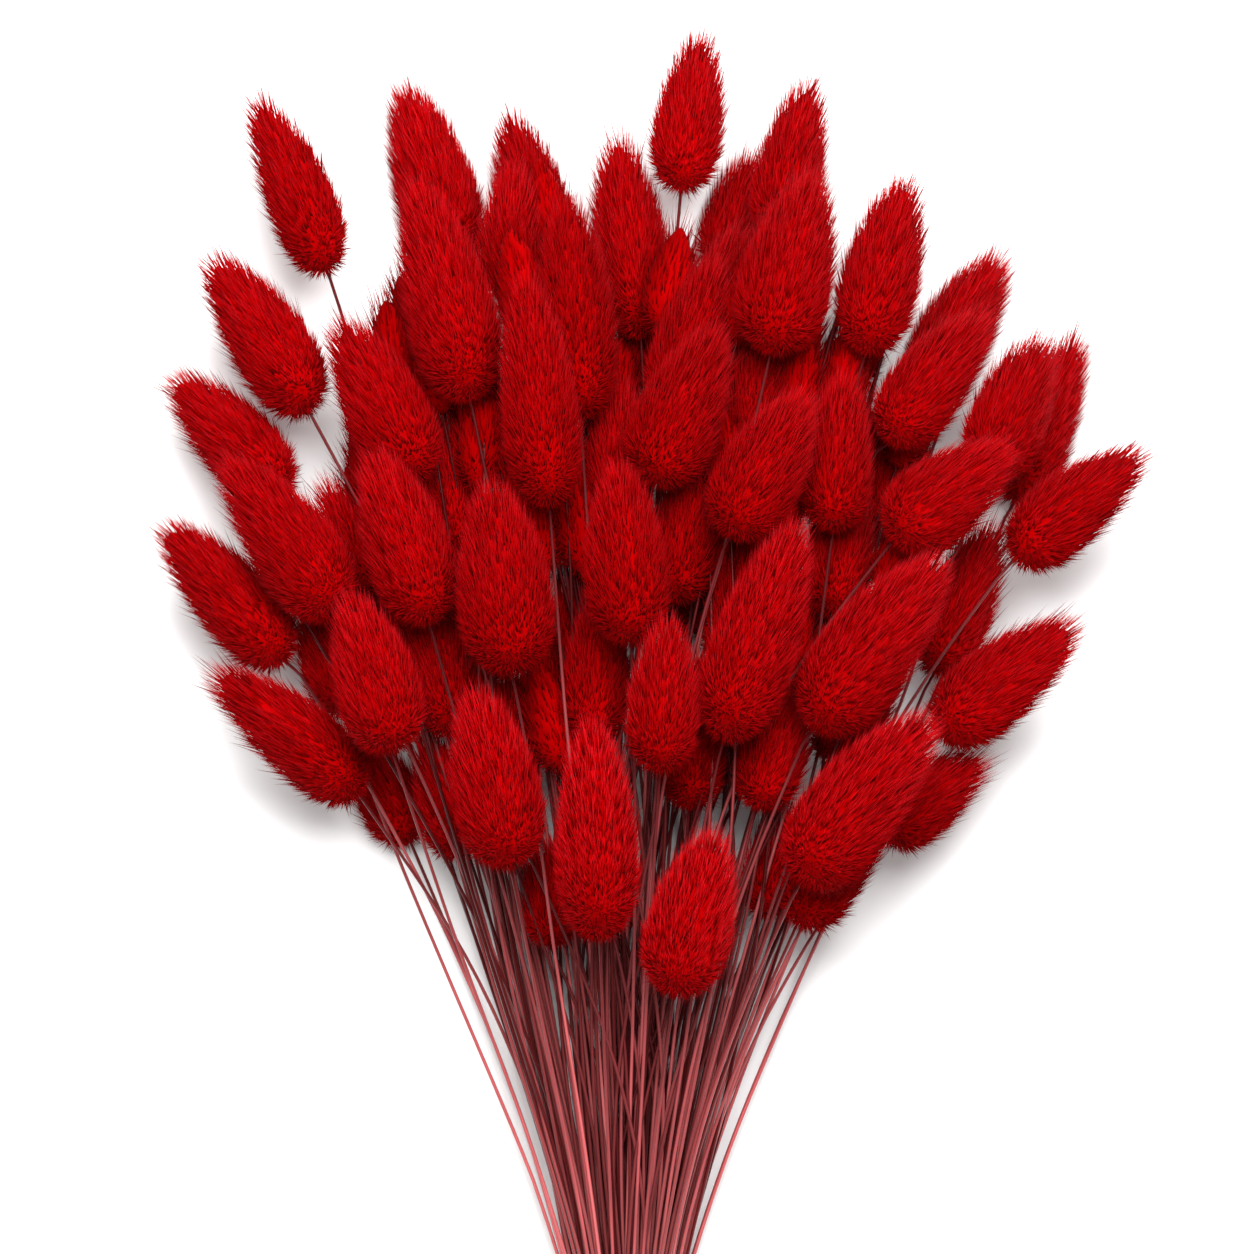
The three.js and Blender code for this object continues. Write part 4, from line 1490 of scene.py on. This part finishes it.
    def twisted(self, tree: Tree, given: Given) -> Socket:
        """Twist strands round each line.

        Args:
            tree: The tree.
            given: The tree's input sockets.

        Returns:
            The strands' geometry, with their place on the bake map.
        """
        line = tree.add("GeometryNodeMeshToCurve", {0: given["Geometry"]}).outputs[0]
        curve = tree.smoothed(line, given["Spacing"])
        inputs = {"Geometry": curve, "Amount": given["Strands"]}
        copies = tree.add("GeometryNodeDuplicateElements", inputs, domain="SPLINE").outputs
        numbered = tree.store(copies["Geometry"], "strand", copies["Duplicate Index"], "CURVE")
        step = tree.math("DIVIDE", 2 * math.pi, given["Strands"])
        far = tree.add("GeometryNodeSplineParameter").outputs["Length"]
        phase = tree.math("MULTIPLY", tree.math("DIVIDE", far, given["Lay"]), 2 * math.pi)
        phase = tree.math("ADD", phase, tree.math("MULTIPLY", tree.attribute("strand"), step))
        normal = tree.add("GeometryNodeInputNormal").outputs[0]
        tangent = tree.add("GeometryNodeInputTangent").outputs[0]
        across = tree.vector("CROSS_PRODUCT", tangent, normal)
        spoke = tree.vector(
            "ADD",
            tree.vector("SCALE", normal, tree.math("COSINE", phase)),
            tree.vector("SCALE", across, tree.math("SINE", phase)),
        )
        far_out = tree.math("MULTIPLY", given["Twine radius"], self.strand_offset)
        offset = tree.vector("SCALE", spoke, far_out)
        laid = tree.add("GeometryNodeSetPosition", {0: numbered, "Offset": offset}).outputs[0]
        factor = tree.add("GeometryNodeSplineParameter").outputs["Factor"]
        radius = tree.math("MULTIPLY", given["Twine radius"], self.strand_radius)
        swept = tree.sweep(laid, radius, factor, given["Strand sides"])
        column = tree.math("DIVIDE", tree.attribute("strand"), given["Strands"])
        width = tree.math("DIVIDE", self.strand_column, given["Strands"])
        across = tree.math("MULTIPLY_ADD", tree.folded_turn(), width, column)
        across = tree.math("ADD", across, self.strand_margin)
        start, extent = self.strand_rows
        up = tree.math("MULTIPLY_ADD", tree.attribute("along"), extent, start)
        up = tree.math("MULTIPLY_ADD", tree.turn_height(), self.cap_height, up)
        return tree.store_map(swept, across, up)

    def fibres(self, tree: Tree, given: Given, strands: Socket) -> Socket:
        """Grow loose fibres on the strands.

        Args:
            tree: The tree.
            given: The tree's input sockets.
            strands: The strands' geometry.

        Returns:
            The fibres' geometry.
        """
        points = tree.add(
            "GeometryNodeDistributePointsOnFaces",
            {"Mesh": strands, "Density": given["Fibres per area"], "Seed": given["Seed"]},
        )
        stray = tree.random(*ANY_WAY, given["Seed"], Draw.FIBRE_TURN, "FLOAT_VECTOR")
        rise = tree.vector("SCALE", points.outputs["Normal"], self.fibre_rise)
        out = {"Vector": tree.vector("ADD", rise, stray)}
        turn = tree.add("FunctionNodeAlignRotationToVector", out, axis="Z").outputs[0]
        length = tree.random(*self.fibre_lengths, given["Seed"], Draw.FIBRE_LENGTH)
        length = tree.math("MULTIPLY", length, given["Fibre length"])
        thick = given["Fibre radius"]
        placed = tree.add(
            "GeometryNodeInstanceOnPoints",
            {
                "Points": points.outputs["Points"],
                "Instance": tree.spike(),
                "Rotation": turn,
                "Scale": tree.add("ShaderNodeCombineXYZ", {0: thick, 1: thick, 2: length}).outputs[0],
            },
        )
        known = placed.outputs[0]
        for name, draw in (("shade", Draw.FIBRE_SHADE), ("row", Draw.FIBRE_ROW)):
            value = tree.random(*self.fibre_places, given["Seed"], draw)
            known = tree.store(known, name, value, "INSTANCE")
        real = tree.add("GeometryNodeRealizeInstances", {0: known}).outputs[0]
        index = tree.add("GeometryNodeInputIndex").outputs[0]
        nudge, lift = (
            tree.math("MULTIPLY", tree.math("MODULO", index, steps), step)
            for steps, step in self.fibre_extent
        )
        across = tree.math("ADD", tree.attribute("shade"), nudge)
        return tree.store_map(real, across, tree.math("ADD", tree.attribute("row"), lift))


@dataclass
class InnerStalks:
    """Stalks deep in the bunch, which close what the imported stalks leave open.

    Seen from above, the middle of the crown is closed, only its rim has gaps, and the
    stems below it stand close together. Each inner stalk has its head below the packed
    heads, and its stem starts beside a packed stem in the tie. A stem is worked out as X
    and Z at even levels along Y, and has nothing past its neck.
    """

    count: int = 43
    lengths: tuple[float, float] = (27 * MM, 40 * MM)
    radii: tuple[float, float] = (6.2 * MM, 8.6 * MM)
    heights: tuple[float, float] = (8 * MM, 46 * MM)
    turn: float = math.radians(9)  # at most, out of the line from the tie
    rises: tuple[float, float] = (-0.05, 0.16)
    draws: int = 500  # of which each stalk is the best
    more_stems: int = 110  # whose ends the crown hides
    stem_draws: int = 250  # of which each of those is the best
    spoiled: float = 7.0  # what it costs to cover a cell that stays open
    least_gain: int = 4  # cells
    head_gap: float = 0.62  # of two heads' radii, so that only their fluff meets
    stem_gap: float = 0.4  # of a head's radius, so that a stem stays out of its core
    spacing: float = 6 * MM
    beside: float = 2 * MM
    nearest: int = 8  # packed stems that a new stem may follow
    slope_levels: int = 3  # over which its last slope is measured, to go on past its neck
    own_levels: int = 3  # next to a new stem's own head, where no head pushes it
    rounds: int = 30
    push: float = 0.4
    smoothing: float = 0.25
    core_share: float = 0.72  # of a head's radius, which the stems stay out of
    foot_gap: float = 1.3 * MM
    top_gap: float = 0.85 * MM
    lowest: float = 0.8 * MM  # a stem's middle above the table
    seat: float = 0.9  # of a head's radius, its middle's least height
    overlap: tuple[float, float] = (0.15, 0.85)  # of a head's length, where a gap lies
    held: float = 12 * MM  # on each side of the tie
    held_radius: float = 7.4 * MM  # of the stems' middles, inside the twine
    flare: float = 0.2  # by which that widens away from the tie
    seed: int = 5

    def stalks(self, packed: list[Stalk], tie: np.ndarray) -> list[Stalk]:
        """Find places for the stalks.

        Args:
            packed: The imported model's stalks.
            tie: The middle of the tie.

        Returns:
            The new stalks, the ones that close most first.
        """
        random = np.random.default_rng(self.seed)
        heads = [head for stalk in packed for head in stalk.heads]
        stems = [stem.points for stalk in packed for stem in stalk.stems]
        first = min(points[0][1] for points in stems)
        levels = np.arange(first, max(head.neck[1] for head in heads), self.spacing)
        old = np.array([at_levels(points, levels) for points in stems])
        gaps = Gaps(heads, old, levels, tie)
        middles, room = joined_balls(heads)
        every_point = np.concatenate(stems)
        found: list[tuple[SeedHead, np.ndarray]] = []
        while len(found) < self.count:
            trials = [self.draw(gaps, old, levels, tie, random) for _ in range(self.draws)]
            gains = np.array([gaps.gain(head, line, self.spoiled) for head, line in trials])
            for number in np.argsort(-gains):
                head, line = trials[number]
                free = head.clear_of(middles, room, self.head_gap)
                if free and head.clear_of(every_point, 0.0, self.stem_gap):
                    break
            if not free or gains[number] < self.least_gain:
                break
            gaps.cover(head, line)
            found.append((head, line))
            middles, room = joined_balls(heads + [head for head, _ in found])
        ends = [(head, True) for head, _ in found]
        lines = [line for _, line in found]
        for _ in range(self.more_stems):
            trials = [self.draw(gaps, old, levels, tie, random) for _ in range(self.stem_draws)]
            hidden = [(head, line) for head, line in trials if gaps.hides(head.neck)]
            head, line = max(hidden, key=lambda trial: gaps.stem_gain(trial[1], self.spoiled))
            gaps.cover_stem(line)
            ends.append((head, False))
            lines.append(line)
        lines = self.settled(np.array(lines), old, levels, tie, (middles, room))
        return [
            self.stalk(f"inner_{number + 1:03d}", head, has_head, line, levels)
            for number, ((head, has_head), line) in enumerate(zip(ends, lines))
        ]

    def draw(
        self,
        gaps: "Gaps",
        old: np.ndarray,
        levels: np.ndarray,
        tie: np.ndarray,
        random: np.random.Generator,
    ) -> tuple[SeedHead, np.ndarray]:
        """Draw a stalk at random that points away from the tie.

        Args:
            gaps: The bunch's gaps.
            old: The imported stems.
            levels: The levels along Y.
            tie: The middle of the tie.
            random: The source of random numbers.

        Returns:
            The head and its stem.
        """
        radius, length = random.uniform(*self.radii), random.uniform(*self.lengths)
        height = max(random.uniform(*self.heights), self.seat * radius)
        places = gaps.middle_places
        place = np.array([*places[random.integers(len(places))], height])
        away = place - tie
        angle = math.atan2(away[1], away[0]) + random.uniform(-self.turn, self.turn)
        along = unit(np.array([math.cos(angle), math.sin(angle), random.uniform(*self.rises)]))
        neck = place - random.uniform(*self.overlap) * length * along
        head = SeedHead(neck, neck + length * along, np.zeros(3), radius)
        return head, self.line(head, old, levels, tie, random)

    def line(
        self,
        head: SeedHead,
        old: np.ndarray,
        levels: np.ndarray,
        tie: np.ndarray,
        random: np.random.Generator,
    ) -> np.ndarray:
        """Lay a stem beside a packed stem, from which it turns off to its head.

        Args:
            head: The head.
            old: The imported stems.
            levels: The levels along Y.
            tie: The middle of the tie.
            random: The source of random numbers.

        Returns:
            The stem at each level.
        """
        slope = (head.tip - head.neck) / (head.tip - head.neck)[1]
        straight = (head.neck + (levels[:, None] - head.neck[1]) * slope)[:, [0, 2]]
        half = int(np.searchsorted(levels, (tie[1] + head.neck[1]) / 2))
        far = np.linalg.norm(old[:, half] - straight[half], axis=1)
        far[np.isnan(far)] = math.inf
        followed = old[np.argsort(far)[random.integers(self.nearest)]].copy()
        last = int(np.flatnonzero(~np.isnan(followed[:, 0]))[-1])
        steps, back = np.arange(1, len(levels) - last)[:, None], self.slope_levels
        onwards = steps * (followed[last] - followed[last - back]) / back
        followed[last + 1 :] = followed[last] + onwards
        followed += random.uniform(-self.beside, self.beside, 2)
        share = np.clip((levels - tie[1]) / (head.neck[1] - tie[1]), 0, 1)[:, None]
        smooth = share * share * (3 - 2 * share)
        line = followed * (1 - smooth) + straight * smooth
        line[levels > head.neck[1]] = np.nan
        return line

    def settled(
        self,
        new: np.ndarray,
        old: np.ndarray,
        levels: np.ndarray,
        tie: np.ndarray,
        balls: tuple[np.ndarray, np.ndarray],
    ) -> np.ndarray:
        """Push the new stems clear of the other stems and of the heads' cores.

        Args:
            new: The new stems.
            old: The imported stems.
            levels: The levels along Y.
            tie: The middle of the tie, whose twine holds the new stems in.
            balls: The middles and radii of the balls that fill the heads.

        Returns:
            The new stems.
        """
        away = np.abs(levels - tie[1])
        held = away < self.held
        middle = np.array([tie[0], TwineTie.winding_radius])
        reach = self.held_radius + self.flare * away[held]
        for _ in range(self.rounds):
            new = new + self.pushed_apart(new, old)
            new += self.pushed_by_heads(new, levels, *balls)
            bend = new[:, 2:] + new[:, :-2] - 2 * new[:, 1:-1]
            new[:, 1:-1] += self.smoothing * np.where(np.isnan(bend), 0.0, bend)
            apart = new[:, held] - middle
            far = np.linalg.norm(apart, axis=2)
            new[:, held] -= apart * np.clip(1 - reach / far, 0, None)[:, :, None]
            new[:, :, 1] = np.maximum(new[:, :, 1], self.lowest)
        return new

    def pushed_apart(self, new: np.ndarray, old: np.ndarray) -> np.ndarray:
        """Return how far the other stems push the new stems at each level.

        Args:
            new: The stems that may move.
            old: The stems that stay.

        Returns:
            The shifts, like new.
        """
        gap = np.linspace(self.foot_gap, self.top_gap, new.shape[1])
        every = np.concatenate([old, new])
        shift = np.zeros_like(new)
        for number in range(len(new)):
            apart = new[number] - every
            far = np.linalg.norm(apart, axis=2)
            far[len(old) + number] = np.nan
            short = np.nan_to_num(np.clip(gap - far, 0, None))
            away = np.nan_to_num(apart / np.maximum(far, TINY)[:, :, None])
            shift[number] = self.push * (away * short[:, :, None]).sum(axis=0)
        return shift

    def pushed_by_heads(
        self, new: np.ndarray, levels: np.ndarray, middles: np.ndarray, room: np.ndarray
    ) -> np.ndarray:
        """Return how far the heads' cores push the new stems at each level.

        Args:
            new: The stems that may move.
            levels: The levels along Y.
            middles: The middles of the balls that fill the heads.
            room: The balls' radii.

        Returns:
            The shifts, like new, with nothing near a stem's own head.
        """
        shift = np.zeros_like(new)
        for middle, radius in zip(middles, self.core_share * room):
            near = np.flatnonzero(np.abs(levels - middle[1]) < radius)
            width = np.sqrt(radius**2 - (levels[near] - middle[1]) ** 2)
            apart = new[:, near] - middle[[0, 2]]
            far = np.linalg.norm(apart, axis=2)
            short = np.nan_to_num(np.clip(width - far, 0, None))
            away = np.nan_to_num(apart / np.maximum(far, TINY)[:, :, None])
            shift[:, near] += self.push * away * short[:, :, None]
        for stem, line in zip(shift, new):
            stem[np.flatnonzero(~np.isnan(line[:, 0]))[-self.own_levels :]] = 0.0
        return shift

    def stalk(
        self, name: str, head: SeedHead, has_head: bool, line: np.ndarray, levels: np.ndarray
    ) -> Stalk:
        """Join a head and its stem.

        Args:
            name: The stalk's name.
            head: The head, at whose neck the stem ends.
            has_head: Whether the head stays.
            line: The stem at each level.
            levels: The levels along Y.

        Returns:
            The stalk.
        """
        kept = levels < head.neck[1] - self.spacing / 2
        points = np.column_stack([line[kept, 0], levels[kept], line[kept, 1]])
        heads = [head] if has_head else []
        return Stalk(name, heads, [Stem(np.vstack([points, head.neck]))])


class Cell(Enum):
    """What a cell of the bunch is, as seen from above."""

    COVERED = 0
    CROWN = 1  # open, in the closed middle of the crown
    STEMS = 2  # open, among the stems
    RIM = 3  # open, where the bunch has its gaps


class Gaps:
    """The bunch as seen from above, in square cells."""

    size: ClassVar[float] = 1 * MM
    samples: ClassVar[float] = 1.5  # a cell's width, which no cell below a head slips through
    closed_reach: ClassVar[float] = 0.62  # of the crown's reach from its middle
    sector: ClassVar[float] = math.radians(10)
    stem_inset: ClassVar[float] = 0.1  # of the stems' width, open on each side
    stem_reach: ClassVar[float] = 40 * MM  # past the lowest neck, where stems still crowd
    stem_width: ClassVar[float] = 0.85 * MM
    head_share: ClassVar[float] = 0.88  # of a head's width, which hides what lies below
    hidden_share: ClassVar[float] = 0.8  # of a head's radius, within which it hides an end

    def __init__(
        self, heads: list[SeedHead], stems: np.ndarray, levels: np.ndarray, tie: np.ndarray
    ) -> None:
        """Tell which cells are open, and which of those are to be closed.

        Args:
            heads: The heads.
            stems: The stems at each level.
            levels: The levels along Y.
            tie: The middle of the tie.
        """
        self.levels = levels
        middles, radii = joined_balls(heads)
        self.middles, self.radii = middles, radii
        self.low = np.minimum(middles[:, :2].min(axis=0) - radii.max(), [math.inf, tie[1]])
        high = middles[:, :2].max(axis=0) + radii.max()
        steps = [np.arange(math.ceil(extent / self.size)) for extent in high - self.low]
        grid = np.stack(np.meshgrid(*steps, indexing="ij"), axis=-1)
        places = self.low + (grid + 0.5) * self.size
        x, y = places[..., 0], places[..., 1]
        left, right = np.nanmin(stems[:, :, 0], axis=0), np.nanmax(stems[:, :, 0], axis=0)
        inset = self.stem_inset * (right - left)
        among = (x > np.interp(y, levels, left + inset)) & (x < np.interp(y, levels, right - inset))
        among &= y < min(head.neck[1] for head in heads) + self.stem_reach
        inside = self.inside_crown(places, middles[:, :2], radii)
        self.cells = np.full(x.shape, Cell.RIM.value)
        self.cells[among] = Cell.STEMS.value
        self.cells[inside] = Cell.CROWN.value
        self.rows = places[0, :, 1]
        for head in heads:
            self.cells[self.under_head(head)] = Cell.COVERED.value
        headed = self.cells == Cell.COVERED.value
        self.middle_places = places[inside | headed]
        for stem in stems:
            self.cells[self.under_stem(stem)] = Cell.COVERED.value

    def inside_crown(
        self, places: np.ndarray, middles: np.ndarray, radii: np.ndarray
    ) -> np.ndarray:
        """Return which cells lie well inside the crown's outline.

        Args:
            places: The cells' middles.
            middles: The middles of the balls that fill the heads.
            radii: The balls' radii.

        Returns:
            Whether each cell does.
        """
        centre = middles.mean(axis=0)
        away, apart = middles - centre, places - centre
        directions = np.arctan2(away[:, 1], away[:, 0])
        reaches = np.hypot(away[:, 0], away[:, 1]) + radii
        sectors = np.arange(-math.pi, math.pi + self.sector, self.sector)
        limits = [
            reaches[np.cos(directions - middle) > math.cos(self.sector)].max(initial=0.0)
            for middle in sectors
        ]
        limit = np.interp(np.arctan2(apart[..., 1], apart[..., 0]), sectors, limits)
        return np.hypot(apart[..., 0], apart[..., 1]) < self.closed_reach * limit

    def under(self, places: np.ndarray) -> tuple[np.ndarray, np.ndarray]:
        """Return the cells that hold some places.

        Args:
            places: The places, as X and Y.

        Returns:
            The cells' numbers along X and along Y, each cell once.
        """
        steps = np.floor((places - self.low) / self.size).astype(int)
        steps = steps[((steps >= 0) & (steps < self.cells.shape)).all(axis=1)]
        flat = np.unique(np.ravel_multi_index(tuple(steps.T), self.cells.shape))
        return np.unravel_index(flat, self.cells.shape)

    def under_head(self, head: SeedHead) -> tuple[np.ndarray, np.ndarray]:
        """Return the cells that a head covers.

        Args:
            head: The head.

        Returns:
            The cells' numbers along X and along Y.
        """
        along = np.linspace(0.0, 1.0, math.ceil(self.samples * head.length / self.size))
        across = np.linspace(-1.0, 1.0, math.ceil(self.samples * 2 * head.radius / self.size))
        axis = unit((head.tip - head.neck)[:2])
        sideways = np.array([-axis[1], axis[0]])
        widths = np.array([head.profile(share) for share in along])
        widths *= self.head_share * head.radius
        middles = head.axis_point(along[:, None])[:, :2]
        places = middles[:, None] + (widths[:, None] * across)[:, :, None] * sideways
        return self.under(places.reshape(-1, 2))

    def under_stem(self, stem: np.ndarray) -> tuple[np.ndarray, np.ndarray]:
        """Return the cells that a stem covers.

        Args:
            stem: The stem at each level.

        Returns:
            The cells' numbers along X and along Y.
        """
        known = ~np.isnan(stem[:, 0])
        levels, across = self.levels[known], stem[known, 0]
        rows = self.rows[(self.rows > levels[0]) & (self.rows < levels[-1])]
        middle = np.interp(rows, levels, across)
        sides = np.linspace(-0.5, 0.5, 3) * self.stem_width
        places = [np.column_stack([middle + side, rows]) for side in sides]
        return self.under(np.concatenate(places))

    def hides(self, place: np.ndarray) -> bool:
        """Return whether a place lies in the lower half of a packed head, or below it."""
        near = np.hypot(*(self.middles[:, :2] - place[:2]).T) < self.hidden_share * self.radii
        return bool((near & (place[2] < self.middles[:, 2])).any())

    def cover(self, head: SeedHead, stem: np.ndarray) -> None:
        """Mark the cells that a stalk covers."""
        self.cells[self.under_head(head)] = Cell.COVERED.value
        self.cover_stem(stem)

    def cover_stem(self, stem: np.ndarray) -> None:
        """Mark the cells that a stem covers."""
        self.cells[self.under_stem(stem)] = Cell.COVERED.value

    def stem_gain(self, stem: np.ndarray, spoiled: float = 1.0) -> float:
        """Return how much a stem closes.

        Args:
            stem: The stem at each level.
            spoiled: What each cell of the rim costs that it covers.

        Returns:
            The number of cells closed, less the cost.
        """
        beneath = self.cells[self.under_stem(stem)]
        closed = (beneath == Cell.STEMS.value) | (beneath == Cell.CROWN.value)
        return float(closed.sum() - spoiled * (beneath == Cell.RIM.value).sum())

    def gain(self, head: SeedHead, stem: np.ndarray, spoiled: float) -> float:
        """Return how much a stalk closes.

        Args:
            head: Its head.
            stem: Its stem at each level.
            spoiled: What each cell costs that its head covers and that stays open.

        Returns:
            The number of cells closed, less the cost.
        """
        below = self.cells[self.under_head(head)]
        closed = (below == Cell.CROWN.value).sum() + self.stem_gain(stem)
        return float(closed - spoiled * (below > Cell.CROWN.value).sum())


def joined_balls(heads: list[SeedHead]) -> tuple[np.ndarray, np.ndarray]:
    """Return the middles and radii of all the balls that fill some heads."""
    balls = [head.balls() for head in heads]
    return np.concatenate([b[0] for b in balls]), np.concatenate([b[1] for b in balls])


def at_levels(points: np.ndarray, levels: np.ndarray) -> np.ndarray:
    """Return X and Z of a stem at each level along Y, and nothing past its neck.

    Args:
        points: The stem's points.
        levels: The levels.

    Returns:
        One row a level.
    """
    sides = [np.interp(levels, points[:, 1], points[:, axis]) for axis in (0, 2)]
    found = np.column_stack(sides)
    found[levels > points[-1][1]] = np.nan
    return found


@dataclass
class Bunch:
    """The stalks of the bunch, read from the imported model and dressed."""

    work: GrassWork = field(default_factory=GrassWork)
    inner: InnerStalks = field(default_factory=InnerStalks)
    tie: TwineTie = field(default_factory=TwineTie)
    painted_shades: tuple[float, float] = (0.0, 0.42)  # painted shade of the fur: darkest in the crown's middle, lightest at its rim
    shade_spread: float = 0.07
    # painted shade: heads deep in the bunch are made darker
    inner_shades: tuple[float, float] = (-0.3, -0.08)
    seed: int = 7

    def build(self, nodes: dict[str, bpy.types.Object]) -> None:
        """Dress every stalk and the tie.

        Args:
            nodes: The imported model's nodes.
        """
        names = sorted(name for name in nodes if name.startswith(STALK_PREFIX))
        stalks = [Stalk.from_node(name, nodes[name]) for name in names]
        heads = sum(len(stalk.heads) for stalk in stalks)
        log.info("read %d stalks with %d seed heads", len(stalks), heads)
        modifier = self.work.modifier()
        fur, dye = self.work.fur.material(), self.work.dye.material()
        random = np.random.default_rng(self.seed)
        tie = np.mean([np.array(corner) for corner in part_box(TIE_NODE)], axis=0)
        found = self.inner.stalks(stalks, tie)
        log.info("%d stalks deep in the bunch", len(found))
        # each packed stalk's painted shade: lighter towards the crown's rim
        painted_shades = self.painted_rim_light(stalks, random)
        # heads deep in the bunch get painted shade, darker than the rest
        painted_shades += [float(random.uniform(*self.inner_shades)) for _ in found]
        stalks += found
        for number, stalk in enumerate(stalks):
            packed = stalk.node in nodes
            piece = modifier.apply(
                self.work.sketch(stalk, packed, random),
                stalk.node.replace(STALK_PREFIX, "grass_"),
                seed=self.seed + number,
                hairs_per_area=self.work.hairs_per_area(packed),
                shade=painted_shades[number],
                fur=fur,
                dye=dye,
            )
            settle(piece, Slot.GRASS, *([stalk.node] if packed else []))
        self.tie.build()

    def painted_rim_light(self, stalks: list[Stalk], random: np.random.Generator) -> list[float]:
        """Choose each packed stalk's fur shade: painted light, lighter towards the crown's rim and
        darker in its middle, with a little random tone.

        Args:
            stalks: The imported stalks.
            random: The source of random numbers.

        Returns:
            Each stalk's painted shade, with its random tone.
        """
        necks = [np.mean([head.neck[:2] for head in stalk.heads], axis=0) for stalk in stalks]
        far = np.linalg.norm(np.array(necks) - np.mean(necks, axis=0), axis=1)
        even = np.interp(far, (0.0, far.max()), self.painted_shades)
        spread = random.uniform(-self.shade_spread, self.shade_spread, len(stalks))
        return (even + spread).tolist()


def settle(piece: bpy.types.Object, slot: Slot, *nodes: str) -> None:
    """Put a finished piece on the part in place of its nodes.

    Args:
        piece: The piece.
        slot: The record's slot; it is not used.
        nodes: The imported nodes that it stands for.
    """
    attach(piece, BODY)
    if nodes:
        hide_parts(*nodes)
    log.info("%s: %d faces", piece.name, len(piece.data.polygons))


@dataclass(frozen=True)
class Lamp:
    """A square soft light."""

    name: str
    place: Point  # from what the camera looks at
    size: float
    power: float


@dataclass
class Studio:
    """The floor, the lights and the camera that looks down on the bunch."""

    frame_width: float = 313.5 * MM  # what the picture spans, half way up the bunch
    frame_middle: float = 197.5 * MM  # from the twine to the picture's middle
    half_height: float = 45 * MM
    camera_height: float = 4.0
    floor_size: float = 6.0
    floor_colour: Colour = (0.9, 0.9, 0.9)
    floor_roughness: float = 0.9
    lamps: tuple[Lamp, ...] = (
        Lamp("key", (0.08, 0.62, 1.55), 0.95, 62.0),
        Lamp("fill", (-0.3, 0.0, 1.7), 1.4, 10.0),
    )
    sky: Colour = (1.0, 1.0, 1.0)
    sky_strength: float = 0.38

    def build(self) -> None:
        """Add the floor, the lights and the camera."""
        low, high = (np.array(corner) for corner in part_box(TIE_NODE))
        middle = (low + high) / 2
        target = Vector((middle[0], middle[1] + self.frame_middle, self.half_height))
        self.add_floor(target)
        self.add_camera(target)
        self.add_lights(target)

    def add_floor(self, target: Vector) -> None:
        """Add the pale floor.

        Args:
            target: What the camera looks at.
        """
        half = self.floor_size / 2
        turns = ((-1, -1), (1, -1), (1, 1), (-1, 1))
        corners = [(target.x + x * half, target.y + y * half, 0.0) for x, y in turns]
        mesh = bpy.data.meshes.new("floor")
        mesh.from_pydata(corners, [], [(0, 1, 2, 3)])
        material, _, shader = new_material("pale_floor")
        shader.inputs["Base Color"].default_value = rgba(self.floor_colour)
        shader.inputs["Roughness"].default_value = self.floor_roughness
        mesh.materials.append(material)
        new_object("floor", mesh)

    def add_camera(self, target: Vector) -> None:
        """Add the camera, straight above what it looks at.

        Args:
            target: What the camera looks at.
        """
        camera = bpy.data.cameras.new("camera")
        camera.sensor_fit = "HORIZONTAL"
        camera.angle = 2 * math.atan(self.frame_width / 2 / self.camera_height)
        holder = new_object("camera", camera)
        holder.location = target + Vector((0.0, 0.0, self.camera_height))
        bpy.context.scene.camera = holder

    def add_lights(self, target: Vector) -> None:
        """Add a large soft key light, a fill and a pale world.

        Args:
            target: What the lights point at.
        """
        for lamp in self.lamps:
            light = bpy.data.lights.new(lamp.name, "AREA")
            light.size = lamp.size
            light.energy = lamp.power
            holder = new_object(lamp.name, light)
            holder.location = target + Vector(lamp.place)
            aim = (target - holder.location).to_track_quat("-Z", "Y")
            holder.rotation_euler = aim.to_euler()
        world = bpy.data.worlds.new("studio")
        world.use_nodes = True
        background = world.node_tree.nodes["Background"]
        background.inputs["Color"].default_value = rgba(self.sky)
        background.inputs["Strength"].default_value = self.sky_strength
        bpy.context.scene.world = world
        bpy.context.scene.view_settings.view_transform = "Standard"


def main() -> None:
    """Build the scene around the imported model."""
    logging.basicConfig(level=logging.INFO, format="%(name)s: %(message)s")
    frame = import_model()
    Bunch().build(frame["nodes"])
    Studio().build()
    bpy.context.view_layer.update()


if __name__ == "__main__":
    main()
